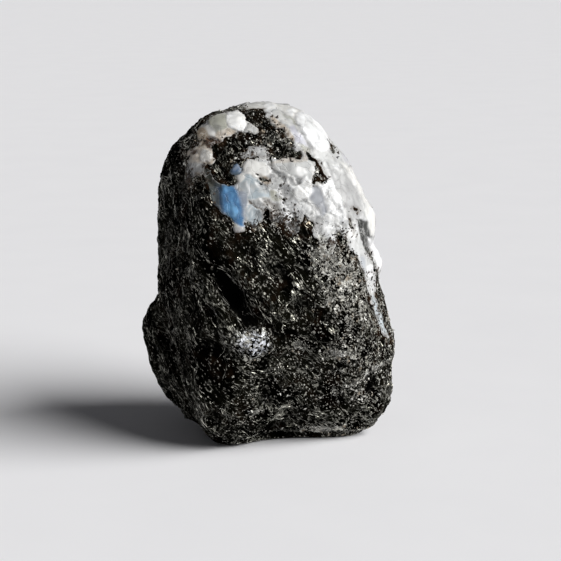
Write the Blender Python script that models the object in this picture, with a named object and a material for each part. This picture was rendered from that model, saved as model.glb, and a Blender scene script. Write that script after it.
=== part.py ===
"""Rough moonstone: one natural stone, dark schist grown together with white feldspar.

The stone is a block bounded by broken faces whose edges have worn round, with a
lobe on its left flank behind the front face. Hollows, knobs and chips are pressed
into that block, a gentle relief runs over all of it, and a flat worn foot lets the
stone stand. Lengths are metres, +Z is up, the front faces -Y and the origin is the
middle of the stone's bounding box, on the surface the stone stands on.
"""

import math

import bmesh
import bpy
import numpy as np
from mathutils import Vector, noise

NAME = "rough_moonstone"
MM = 0.001

# The core is the point that every broken face is measured out from.
CORE = np.array((0, 0, 21.4)) * MM

# Subdivisions along one side of the cube that becomes the stone's skin.
SKIN_CUTS = 27

# Higher values leave a sharper edge where two broken faces meet.
BODY_SHARPNESS = 46
LOBE_SHARPNESS = 50
JOIN_SHARPNESS = 60

# Rounds of smoothing that wear down the block's edges, then those of the lobe.
BLOCK_WEAR = 10
LOBE_WEAR = 2

# Broken faces: name, azimuth and tilt of the outward normal in degrees, distance
# from the core in millimetres. Azimuth 0 is +X, 90 is the back, -90 the front.
BODY_FACES = (
    ("right flank", 2, 8, 15.4),
    ("right edge", 0, 5, 17.5),
    ("right low flank", -2, -7, 19.5),
    ("right toe", -6, -24, 24.3),
    ("right toe underside", -12, -44, 28.2),
    ("right foot", -24, -62, 26.9),
    ("right shoulder", 5, 20, 15.55),
    ("right upper shoulder", 8, 32, 17.95),
    ("right brow", 12, 44, 19.3),
    ("right crown", 19, 57, 21.3),
    ("crown", 90, 78, 22.8),
    ("left crown", 155, 66, 22.6),
    ("left brow", 165, 50, 22.3),
    ("left upper shoulder", 173, 32, 21.8),
    ("left shoulder", 177, 15, 18.3),
    ("left flank", 180, -3, 13.9),
    ("left low flank", -176, -16, 13.7),
    ("left front", -155, 3, 12.6),
    ("left front slope", -150, 36, 19.2),
    ("left front edge", -118, 2, 13.7),
    ("left front foot", -140, -38, 21.6),
    ("left toe", -154, -64, 24.6),
    ("front", -77, 4, 11.0),
    ("front low", -74, -14, 12.6),
    ("front foot", -74, -36, 17.8),
    ("front brow", -84, 20, 12.6),
    ("front slope", -88, 42, 16.4),
    ("front right edge", -56, 6, 12.9),
    ("front right", -34, 8, 13.8),
    ("front right slope", -38, 34, 16.2),
    ("front right foot", -40, -40, 23.6),
    ("back right", 36, 4, 15.2),
    ("back right slope", 48, 42, 19.2),
    ("back right foot", 34, -36, 22.2),
    ("back", 84, 8, 14.0),
    ("back slope", 98, 46, 20.2),
    ("back foot", 88, -34, 18.2),
    ("back left", 128, 2, 15.3),
    ("back left slope", 142, 34, 18.8),
    ("back left foot", 142, -36, 19.0),
    ("floor", 0, -90, 24.4),
)
LOBE_FACES = (
    ("lobe shelf", 155, 63, 3.0),
    ("lobe shoulder", 178, 28, 11.8),
    ("lobe left", 180, 0, 17.3),
    ("lobe low left", -178, -9, 17.7),
    ("lobe low flank", -176, -20, 18.7),
    ("lobe underside", -172, -34, 21.0),
    ("lobe foot", -166, -49, 23.3),
    ("lobe front", -130, -4, 9.4),
    ("lobe back left", 150, -4, 17.4),
    ("lobe back", 104, 2, 11.4),
    ("lobe back foot", 130, -42, 18.4),
    ("lobe floor", 0, -90, 20.0),
    ("lobe right", 0, 0, 2.0),
    ("lobe far front", -80, -10, 4.0),
)

# Marks pressed into the block or standing out of it: name, centre (x, y, z),
# radii (x, y, z), turn about Y in degrees and height, in millimetres.
MARKS = (
    ("long hollow", (-4.6, -12, 22.0), (3.4, 5, 1.8), 49, -1.1),
    ("shallow hollow", (4.4, -10, 24.6), (3.4, 5, 2.0), 20, -0.4),
    ("knob", (-1.9, -12, 15.7), (2.4, 5, 2.0), 10, 0.7),
    ("foot ridge", (1.5, -11, 7.2), (3.4, 5, 1.2), -20, 0.5),
    ("foot recess", (3.5, -9, 3.4), (5.0, 5, 1.8), -8, -0.8),
    ("foot undercut", (3.4, -7, -0.5), (5.6, 4.6, 2.6), 0, -3.2),
    ("right chip", (15.4, -4, 9.0), (2.4, 5, 2.8), 30, -0.6),
    ("right rim", (14.4, 1, 28.8), (2.4, 4, 2.2), 0, 1.2),
    ("right low rim", (15.6, 0, 23.4), (2.0, 3, 1.3), 0, 1.0),
    ("right notch", (14.2, 0, 24.9), (2.0, 3.4, 1.2), 0, -1.4),
    ("right lower notch", (14.4, -1, 20.2), (2.4, 4.2, 3.0), 0, -1.4),
    ("brow notch", (8.6, 2, 38.8), (1.8, 4, 1.8), 0, -0.6),
    ("left brow notch", (-10.4, 1, 41.2), (1.4, 4, 1.4), 0, -0.6),
    ("crown dip", (-4.4, 0, 44.2), (3.2, 7, 2.6), 0, -0.5),
    ("right cheek", (16.6, 0, 11.8), (2.6, 5, 3.0), 0, 0.9),
)

# Swellings of the worn surface: name, size and height in millimetres.
RELIEF = (("broad", 8.5, 0.5), ("small", 3.6, 0.28))

SCHIST_COLOUR = (0.032, 0.030, 0.028, 1)
SCHIST_ROUGHNESS = 0.45


def face_normal(azimuth, tilt):
    """Unit vector from an azimuth and a tilt above the horizon, both in degrees."""
    a = math.radians(azimuth)
    t = math.radians(tilt)
    return np.array((math.cos(a) * math.cos(t), math.sin(a) * math.cos(t), math.sin(t)))


def block_reach(directions, faces, sharpness):
    """How far a block of broken faces reaches from the core along each direction."""
    crowding = np.zeros(len(directions))
    for _, azimuth, tilt, distance in faces:
        facing = np.maximum(directions @ face_normal(azimuth, tilt), 0)
        crowding += (facing / (distance * MM)) ** sharpness
    return crowding ** (-1 / sharpness)


def split_arms(points):
    """Each point's direction from the core and its distance."""
    arms = points - CORE
    lengths = np.linalg.norm(arms, axis=1)
    return arms / lengths[:, None], lengths


def body_points(cube_points):
    """The points of a cube of half-width 1, moved onto the body's broken faces."""
    directions = np.tan(cube_points * (math.pi / 4))
    directions /= np.linalg.norm(directions, axis=1)[:, None]
    return CORE + directions * block_reach(directions, BODY_FACES, BODY_SHARPNESS)[:, None]


def with_lobe(points):
    """The body's points, pushed out wherever the lobe stands further from the core."""
    directions, body = split_arms(points)
    lobe = block_reach(directions, LOBE_FACES, LOBE_SHARPNESS)
    joined = (body**JOIN_SHARPNESS + lobe**JOIN_SHARPNESS) ** (1 / JOIN_SHARPNESS)
    return CORE + directions * joined[:, None]


def marks_height(points):
    """Sum of the hollows and knobs at each point."""
    height = np.zeros(len(points))
    for _, centre, radii, turn, rise in MARKS:
        offset = points - np.array(centre) * MM
        c = math.cos(math.radians(turn))
        s = math.sin(math.radians(turn))
        along = offset[:, 0] * c - offset[:, 2] * s
        across = offset[:, 0] * s + offset[:, 2] * c
        spread = np.stack((along, offset[:, 1], across), axis=1) / (np.array(radii) * MM)
        height += rise * MM * np.exp(-(spread**2).sum(axis=1))
    return height


def relief_height(points):
    """Natural swellings of the surface at each point."""
    height = np.zeros(len(points))
    for _, size, rise in RELIEF:
        height += [rise * MM * noise.noise(Vector(point / (size * MM))) for point in points]
    return height


def with_marks_and_relief(points):
    directions, _ = split_arms(points)
    height = marks_height(points) + relief_height(points)
    return points + directions * height[:, None]


def read_points(skin):
    return np.array([vert.co for vert in skin.verts])


def write_points(skin, points):
    for vert, point in zip(skin.verts, points):
        vert.co = point


def wear_down(skin, rounds):
    for _ in range(rounds):
        bmesh.ops.smooth_vert(
            skin, verts=skin.verts, factor=0.5, use_axis_x=True, use_axis_y=True, use_axis_z=True)


def cut_foot(skin):
    """Cut the skin flat on the ground and close it."""
    bmesh.ops.bisect_plane(
        skin, geom=skin.verts[:] + skin.edges[:] + skin.faces[:],
        plane_co=(0, 0, 0), plane_no=(0, 0, -1), clear_outer=True)
    bmesh.ops.holes_fill(skin, edges=[edge for edge in skin.edges if edge.is_boundary])
    bmesh.ops.recalc_face_normals(skin, faces=skin.faces[:])


def centre_footprint(skin):
    points = read_points(skin)
    middle = (points.min(axis=0) + points.max(axis=0)) / 2
    bmesh.ops.translate(skin, verts=skin.verts, vec=(-middle[0], -middle[1], 0))


def stone_skin():
    skin = bmesh.new()
    bmesh.ops.create_cube(skin, size=2)
    bmesh.ops.subdivide_edges(skin, edges=skin.edges[:], cuts=SKIN_CUTS, use_grid_fill=True)
    write_points(skin, body_points(read_points(skin)))
    wear_down(skin, BLOCK_WEAR)
    write_points(skin, with_lobe(read_points(skin)))
    wear_down(skin, LOBE_WEAR)
    write_points(skin, with_marks_and_relief(read_points(skin)))
    cut_foot(skin)
    centre_footprint(skin)
    return skin


def schist_material():
    material = bpy.data.materials.new("schist")
    material.use_nodes = True
    shader = material.node_tree.nodes["Principled BSDF"]
    shader.inputs["Base Color"].default_value = SCHIST_COLOUR
    shader.inputs["Roughness"].default_value = SCHIST_ROUGHNESS
    shader.inputs["Metallic"].default_value = 0
    return material


def make_stone(collection):
    mesh = bpy.data.meshes.new(NAME)
    skin = stone_skin()
    skin.to_mesh(mesh)
    skin.free()
    mesh.shade_smooth()
    mesh.materials.append(schist_material())
    stone = bpy.data.objects.new(NAME, mesh)
    collection.objects.link(stone)
    return stone


def clear_scene():
    for obj in list(bpy.data.objects):
        bpy.data.objects.remove(obj)


def main():
    clear_scene()
    collection = bpy.data.collections.new(NAME)
    bpy.context.scene.collection.children.link(collection)
    make_stone(collection)


main()
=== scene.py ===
"""Looks of the rough moonstone: glossy near-black schist grown together with milky feldspar.

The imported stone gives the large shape. Two fine skins are grown from it: the schist body,
and the feldspar cap that is set into it. Pale grains and winding crests of mica stand in
the schist's surface, and dark grains in the feldspar's. What shows from the front is laid
out in millimetres on the front view: u runs right and v runs up, as seen from the front
viewpoint. Shapes are worked out in millimetres and turned into metres as meshes are made.
The patterns in the materials are in metres, apart from those that follow the schist's grain.
"""
import math

import bmesh
import bpy
import numpy as np
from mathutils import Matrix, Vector, kdtree, noise


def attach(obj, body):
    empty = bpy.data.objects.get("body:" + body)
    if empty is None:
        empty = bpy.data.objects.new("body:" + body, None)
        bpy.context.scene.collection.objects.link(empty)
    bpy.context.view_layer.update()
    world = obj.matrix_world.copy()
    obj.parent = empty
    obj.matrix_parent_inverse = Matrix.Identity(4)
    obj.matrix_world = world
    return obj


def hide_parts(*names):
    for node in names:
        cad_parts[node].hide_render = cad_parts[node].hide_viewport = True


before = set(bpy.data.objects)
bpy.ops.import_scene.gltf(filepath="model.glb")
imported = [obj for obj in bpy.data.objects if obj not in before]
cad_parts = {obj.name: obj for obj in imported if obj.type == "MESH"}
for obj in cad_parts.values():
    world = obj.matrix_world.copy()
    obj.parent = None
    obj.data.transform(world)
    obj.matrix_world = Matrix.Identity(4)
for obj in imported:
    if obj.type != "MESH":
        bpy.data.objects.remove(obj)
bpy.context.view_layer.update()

NODE = "rough_moonstone"
MM = 0.001

# The core is a point in the middle of the stone, and the front viewpoint looks at a spot that
# lies AIM right and up of it. The layout's u and v have their own origin: the middle of that
# view lies at LAYOUT_OFFSET.
CORE = np.array((0.0, 0.0, 21.4))
VIEW_ELEVATION = 12.0
VIEW_DISTANCE = 206.0
VIEW_LENS = 100.0
VIEW_SENSOR = 36.0
AIM = (1.78, -1.0)
LAYOUT_OFFSET = np.array((1.39, -0.73))

# What the camera sees begins and ends at these distances, in metres.
VIEW_NEAR = 0.01
VIEW_FAR = 30.0

# Grain of the schist: the direction its needles run in, and the normal of its layers.
NEEDLES = np.array((0.60, -0.10, -0.79))
LAYER_NORMAL = np.array((-0.40, 0.85, -0.33))

# The fine skins: the size of their faces and how far the smoothing reaches. The CAD stone's
# corners are joined over WELD_DISTANCE, in metres. The worn foot gets no relief up to
# FOOT_MARGIN above the floor.
SCHIST_VOXEL = 0.26
FELDSPAR_VOXEL = 0.18
SKIN_SMOOTHING = 0.6
WELD_DISTANCE = 0.00001
FOOT_MARGIN = 0.8

# The feldspar cap reaches this far past its border, under the schist's skin, and this deep
# into the stone. Its inner side is thinned until this share of all its faces is left.
CAP_OVERLAP = 0.8
CAP_DEPTH = 2.6
CAP_FACES_KEPT = 0.56

# Relief that both minerals have where they meet: swellings and small lumps.
SHARED_SWELLINGS = 0.12
SHARED_LUMPS = 0.05

# Relief of the schist: swellings along its grain and lumps, the crests of its folds and finer
# ridges, its pits, how far it all lies under the CAD skin, and how far it dips under the
# feldspar.
SCHIST_SWELLINGS = 0.30
SCHIST_LUMPS = 0.25
SCHIST_FOLDS = 0.16
SCHIST_RIDGES = 0.07
SCHIST_PITS = 0.50
SCHIST_LEVEL = 0.10
SCHIST_DIP = 1.1

# Relief of the feldspar: how far a large crystal face leans and stands out, the grooves
# between large faces, the same for small ones, the grooves' half-width, grit, lumps, the
# share of a zone's height that is used, the softest border of a zone's relief, and how far
# the feldspar dips under the schist.
FACE_LEAN = 0.20
FACE_STEP = 0.06
FACE_GROOVE = 0.07
SMALL_FACE_LEAN = 0.05
SMALL_FACE_GROOVE = 0.02
GROOVE_WIDTH = 0.05
FELDSPAR_GRIT = 0.02
FELDSPAR_LUMPS = 0.08
ZONE_LIFT = 0.8
RELIEF_BORDER = 0.15
FELDSPAR_DIP = 1.5

# How much of the broken faces' relief and shades is gone on the smooth crystals.
CALMING = 0.9

# Painted light and shade on the feldspar's faces: how much its tone varies with the lean of
# each large face and of each small face. Then how much it varies in streaks, its tone beyond
# the front view, where it is darkened as painted shade, and its share of stain at its border.
FACE_SHADES = 0.14
SMALL_FACE_SHADES = 0.08
STREAK_SHADES = 0.22
FAR_SHADED_TONE = 0.82
STAIN_SHARE = 0.5

# How far the borders of the minerals and of the zones are shaken on the front view: coarsely,
# finely, and for the zones.
BORDER_SHAKE = 0.22
FINE_BORDER_SHAKE = 0.12
ZONE_SHAKE = 0.16

# How far apart the noises and the cells of two neighbouring seeds lie, in their own sizes,
# and how far the cells' centres are spread before each gets its random lean.
NOISE_SHIFT = 17.31
CELL_SHIFT = 11.7
CELL_SPREAD = 7.7

# Fractal noise: how fast its layers grow weaker, and how much finer each is than the last.
FRACTAL_FADE = 0.9
FRACTAL_STEP = 2.1

# How thickly pale grains stand in the schist: everywhere, in patches, and more at its border.
CROWD_EVERYWHERE = 0.02
CROWD_PATCHES = 0.08
CROWD_BORDER = 0.3

# Loose grains. Their size runs from the smallest up by the spread, and a higher rarity makes
# large ones rarer. The shape stretches them along three axes, and they stand sunk by a share
# of their size.
PALE_GRAINS = {"count": 6000, "seed": 7, "smallest": 0.05, "spread": 0.20, "rarity": 3.0,
               "shape": (1.5, 1.0, 0.75), "sunk": 0.4}
DARK_GRAINS = {"count": 1200, "seed": 13, "smallest": 0.08, "spread": 0.20, "rarity": 1.5,
               "shape": (1.4, 1.0, 0.8), "sunk": 0.45}

# What each radius of a grain is multiplied by at least, and how much more that may be.
GRAIN_VARIETY = (0.7, 0.6)

# An eight-sided grain of radius 1.
OCTAHEDRON = np.array(((1, 0, 0), (-1, 0, 0), (0, 1, 0), (0, -1, 0), (0, 0, 1), (0, 0, -1)), float)
OCTAHEDRON_FACES = np.array((
    (0, 2, 4), (2, 1, 4), (1, 3, 4), (3, 0, 4), (2, 0, 5), (1, 2, 5), (3, 1, 5), (0, 3, 5)))

# Mica crests: the shortest step between two of a crest's rings and how much longer it may be,
# the same for a crest's half-width, its height as a share of that, and how deep its feet are
# sunk. Crests follow the needles, bent by folds, turned aside at random from the start and
# more at each ring. One that leaves the schist's points by CREST_GAP is left out.
MICA_CRESTS = 3400
CREST_SEED = 19
CREST_RINGS = 9
CREST_STEPS = (0.06, 0.40)
CREST_WIDTHS = (0.030, 0.065)
CREST_RISE = 0.6
CREST_SUNK = 0.05
CREST_BEND = 1.3
CREST_STRAY = 0.15
CREST_WANDER = 0.22
CREST_GAP = 0.3

# The key light: its angle round from the right (positive towards the back), its height and
# its spread in degrees.
KEY_AZIMUTH = -19
KEY_ELEVATION = 35
KEY_SPREAD = 50
KEY_STRENGTH = 4.8
KEY_COLOUR = (1.0, 0.995, 0.98)

# The floor's side and how far it lies under the stone's foot, in metres, and its colours.
FLOOR_SIZE = 8.0
FLOOR_DROP = 0.00005
FLOOR_DARK = (0.80, 0.80, 0.825)
FLOOR_LIGHT = (0.84, 0.84, 0.862)

# Height of the world's pale band, as the sine of its angle over the horizon.
HORIZON_BAND = (0.08, 0.2)
HORIZON_COLOUR = (0.50, 0.50, 0.52)
ROOM_COLOUR = (0.06, 0.06, 0.063)

# ---------------------------------------------------------------- the front view's layout

# Outlines of the feldspar on the front view.
FELDSPAR_OUTLINES = {
    "main mass and right crystals": (
        (-8.2, 12.1), (-8.8, 13.3), (-8.5, 14.2), (-7.9, 13.8), (-7.3, 12.5), (-6.5, 12.1),
        (-5.9, 12.0), (-5.3, 11.8), (-4.8, 11.9), (-4.3, 12.3), (-4.8, 13.2), (-4.1, 13.4),
        (-3.6, 13.7), (-3.6, 14.3), (-3.1, 15.1), (-3.8, 15.4), (-4.0, 16.1), (-3.3, 16.4),
        (-2.7, 17.0), (-1.6, 17.2), (-0.5, 16.8), (-0.1, 16.0), (0.5, 15.3), (1.3, 15.3),
        (1.9, 15.8), (2.6, 15.6), (3.2, 15.4), (3.9, 15.2), (4.3, 15.6), (4.1, 16.4), (3.4, 16.4),
        (3.0, 16.9), (3.1, 17.6), (2.4, 18.1), (1.9, 18.8), (1.5, 19.5), (0.7, 19.4), (0.2, 19.9),
        (-0.2, 20.6), (-0.6, 21.0), (-0.6, 21.5), (-0.9, 22.0), (-2.0, 22.0), (-3.0, 22.05),
        (-3.8, 22.4), (-4.4, 22.6), (-4.0, 25.0), (8.0, 25.0), (15.0, 18.0), (19.0, 8.0),
        (19.0, 0.0), (14.9, 0.2), (14.5, -0.7), (14.1, -1.0), (13.9, -2.5), (14.3, -4.0),
        (15.0, -6.0), (15.7, -8.5), (15.0, -8.0), (14.3, -6.2), (13.6, -4.4), (13.1, -2.2),
        (12.7, -0.6), (12.2, 0.9), (11.6, 2.2), (11.0, 2.9), (10.4, 3.6), (10.2, 4.4), (9.9, 4.9),
        (9.2, 5.8), (8.8, 5.4), (8.8, 4.3), (8.6, 3.4), (8.0, 2.6), (7.5, 2.7), (6.9, 3.4),
        (6.4, 4.0), (6.5, 4.6), (5.9, 5.2), (5.6, 6.0), (5.9, 6.5), (5.6, 7.0), (4.9, 7.1),
        (4.9, 7.6), (4.5, 7.9), (4.3, 7.2), (3.9, 7.0), (3.9, 5.7), (3.1, 5.2), (2.6, 5.9),
        (2.0, 6.3), (1.8, 7.0), (0.9, 6.9), (0.3, 7.2), (-0.1, 7.5), (-0.2, 8.3), (-0.5, 8.9),
        (-0.9, 8.0), (-1.0, 7.0), (-1.7, 6.9), (-1.7, 6.2), (-2.2, 6.1), (-2.6, 6.9), (-3.0, 7.2),
        (-3.3, 6.5), (-3.4, 6.0), (-3.7, 5.6), (-4.2, 5.5), (-4.7, 5.8), (-5.0, 6.3), (-4.9, 6.9),
        (-5.3, 7.7), (-5.9, 8.1), (-6.4, 8.2), (-7.0, 8.9), (-7.5, 9.5), (-7.8, 10.4), (-8.1, 11.3),
    ),
    "upper left crystals": (
        (-8.9, 19.9), (-8.4, 20.7), (-7.8, 21.1), (-6.8, 21.4), (-5.8, 21.5), (-5.2, 21.8),
        (-4.4, 21.9), (-3.9, 21.7), (-3.4, 21.2), (-3.1, 20.5), (-2.6, 20.1), (-2.1, 19.8),
        (-1.6, 19.4), (-1.5, 18.9), (-1.9, 18.5), (-2.7, 18.9), (-3.5, 18.9), (-4.4, 18.8),
        (-5.2, 18.4), (-5.9, 18.2), (-6.3, 17.8), (-7.0, 17.4), (-7.9, 17.1), (-7.7, 16.4),
        (-7.5, 15.7), (-7.2, 15.3), (-7.6, 14.8), (-8.1, 14.6), (-8.5, 15.0), (-8.6, 14.4),
        (-8.8, 13.6), (-9.2, 13.1), (-9.9, 13.1), (-10.4, 12.8), (-10.7, 11.9), (-11.0, 12.3),
        (-11.1, 13.4), (-10.9, 14.4), (-10.7, 15.3), (-11.1, 16.0), (-10.8, 16.6), (-10.2, 16.9),
        (-9.5, 17.1), (-9.5, 17.8), (-9.7, 18.6), (-9.8, 19.1), (-9.3, 19.5),
    ),
    "small blue grain": (
        (-5.3, 13.6), (-5.0, 14.2), (-4.4, 14.8), (-3.9, 14.5), (-3.7, 14.0), (-4.1, 13.4),
        (-4.7, 13.2),
    ),
}

# Schist enclosed in the feldspar on the front view: outlines, then single grains given by
# centre, half-length, half-width and turn in degrees.
SCHIST_OUTLINES = {
    "stripe on the right flank": (
        (13.4, 3.0), (13.5, 2.2), (14.0, 1.2), (14.3, 0.0), (14.5, -1.1), (14.8, -2.4),
        (15.2, -3.8), (15.6, -4.9), (15.7, -6.4), (15.0, -5.8), (14.5, -4.7), (14.0, -3.0),
        (13.9, -1.4), (14.0, -0.4), (13.9, 0.7), (13.5, 1.7), (12.9, 2.8), (12.9, 3.4),
    ),
    "tail of the dark band": (
        (4.7, 16.4), (5.3, 16.0), (6.1, 15.2), (6.9, 14.2), (7.1, 13.4), (7.7, 12.7), (7.1, 12.4),
        (6.9, 11.9), (6.4, 12.2), (6.0, 12.3), (6.0, 11.9), (5.4, 11.9), (5.7, 12.6), (5.9, 13.4),
        (6.1, 14.2), (5.9, 14.9), (5.1, 15.4), (4.9, 15.9),
    ),
}
SCHIST_GRAINS = (
    ("upper right spot", 8.25, 16.7, 0.75, 0.24, -72),
    ("right streak", 10.65, 6.8, 0.9, 0.2, -68),
    ("right speck", 11.3, 8.7, 0.34, 0.24, -40),
    ("right low speck", 13.55, 0.25, 0.18, 0.15, 0),
    ("middle speck", -0.95, 12.7, 0.5, 0.24, -28),
    ("middle small speck", -0.35, 12.4, 0.34, 0.2, -10),
    ("middle lower speck", -1.1, 12.0, 0.3, 0.12, -20),
    ("crack's upper end", 0.15, 15.2, 0.55, 0.16, -75),
    ("line under the fibres", -2.3, 15.42, 1.3, 0.12, 4),
    ("dot", 1.9, 9.85, 0.16, 0.16, 0),
    ("low dot", 3.1, 7.3, 0.16, 0.3, 10),
    ("low dash", 7.65, 3.7, 0.15, 0.3, 10),
)

# Feldspar beyond the front view lies on this side of a slanted plane through the stone, and in
# a wedge that runs down the right flank: its upper and lower end and its half-width at each.
CAP_POINT = np.array((-3.0, 2.0, 43.5))
CAP_NORMAL = np.array((0.76, 0.16, 0.63))
WEDGE_TOP = np.array((15.5, 4.0, 28.0))
WEDGE_FOOT = np.array((16.5, 1.0, 14.0))
WEDGE_WIDTHS = (6.0, 0.6)

# Streaks in the feldspar run upwards: how the axes are squeezed for their noise.
STREAK_AXES = np.array((1.0, 1.0, 0.4))

# Colours of the feldspar, linear.
WHITE = (0.90, 0.90, 0.89)
CHALK = (0.75, 0.75, 0.755)
MILK = (0.68, 0.685, 0.69)
SMOKE = (0.31, 0.32, 0.345)
PALE = (0.50, 0.505, 0.50)
GREY = (0.34, 0.34, 0.34)
DIM = (0.18, 0.18, 0.18)
CREAM = (0.62, 0.615, 0.595)
WARM = (0.50, 0.435, 0.36)
OLIVE = (0.34, 0.34, 0.29)
COLD = (0.28, 0.31, 0.36)
LILAC = (0.44, 0.44, 0.49)
ICE = (0.36, 0.41, 0.44)
# BLUE, SKY, NIGHT and DUSK are painted sheen: the blue that the feldspar throws back only at some
# angles is laid into its colour.
BLUE = (0.058, 0.165, 0.32)
SKY = (0.17, 0.37, 0.59)
NIGHT = (0.010, 0.035, 0.08)
SLATE = (0.040, 0.050, 0.058)
MOSS = (0.022, 0.023, 0.018)
UMBER = (0.020, 0.021, 0.017)
DUSK = (0.08, 0.13, 0.21)
TAN = (0.33, 0.265, 0.19)
ROSE = (0.34, 0.30, 0.255)
BROWN = (0.06, 0.032, 0.018)
STAIN = (0.12, 0.095, 0.07)
CRACK_TINT = (0.70, 0.70, 0.71)
DARK_SPECK = (0.05, 0.035, 0.025)

# Colours of the schist and its mica, linear, and the roughness of each as a grey.
SCHIST_BLACK = (0.0005, 0.0005, 0.0003)
SCHIST_DARK = (0.0035, 0.0035, 0.0021)
SCHIST_BROWN = (0.014, 0.008, 0.0045)
# Painted shade: the colour that the schist's hollows are darkened to.
HOLLOW_SHADE = (0.001, 0.001, 0.001)
PALE_SPECK = (0.30, 0.29, 0.26)
MICA_DULL = (0.008, 0.008, 0.006)
MICA_BRIGHT = (0.60, 0.59, 0.51)
MICA_SILVER = (0.80, 0.83, 0.90)
RUST_TINT = (0.50, 0.34, 0.22)
GROUND_ROUGHNESS = (0.5, 0.5, 0.5)
MICA_ROUGHNESS = (0.22, 0.22, 0.22)

# Colours of the loose grains and the crests, linear.
PALE_GRAIN_DARK = (0.06, 0.058, 0.048)
PALE_GRAIN_LIGHT = (0.68, 0.67, 0.62)
PALE_GRAIN_TAN = (0.24, 0.20, 0.15)
DARK_GRAIN_BLACK = (0.006, 0.005, 0.004)
DARK_GRAIN_BROWN = (0.055, 0.036, 0.022)
CREST_DULL = (0.02, 0.02, 0.016)
CREST_BRIGHT = (0.60, 0.59, 0.52)
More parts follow.
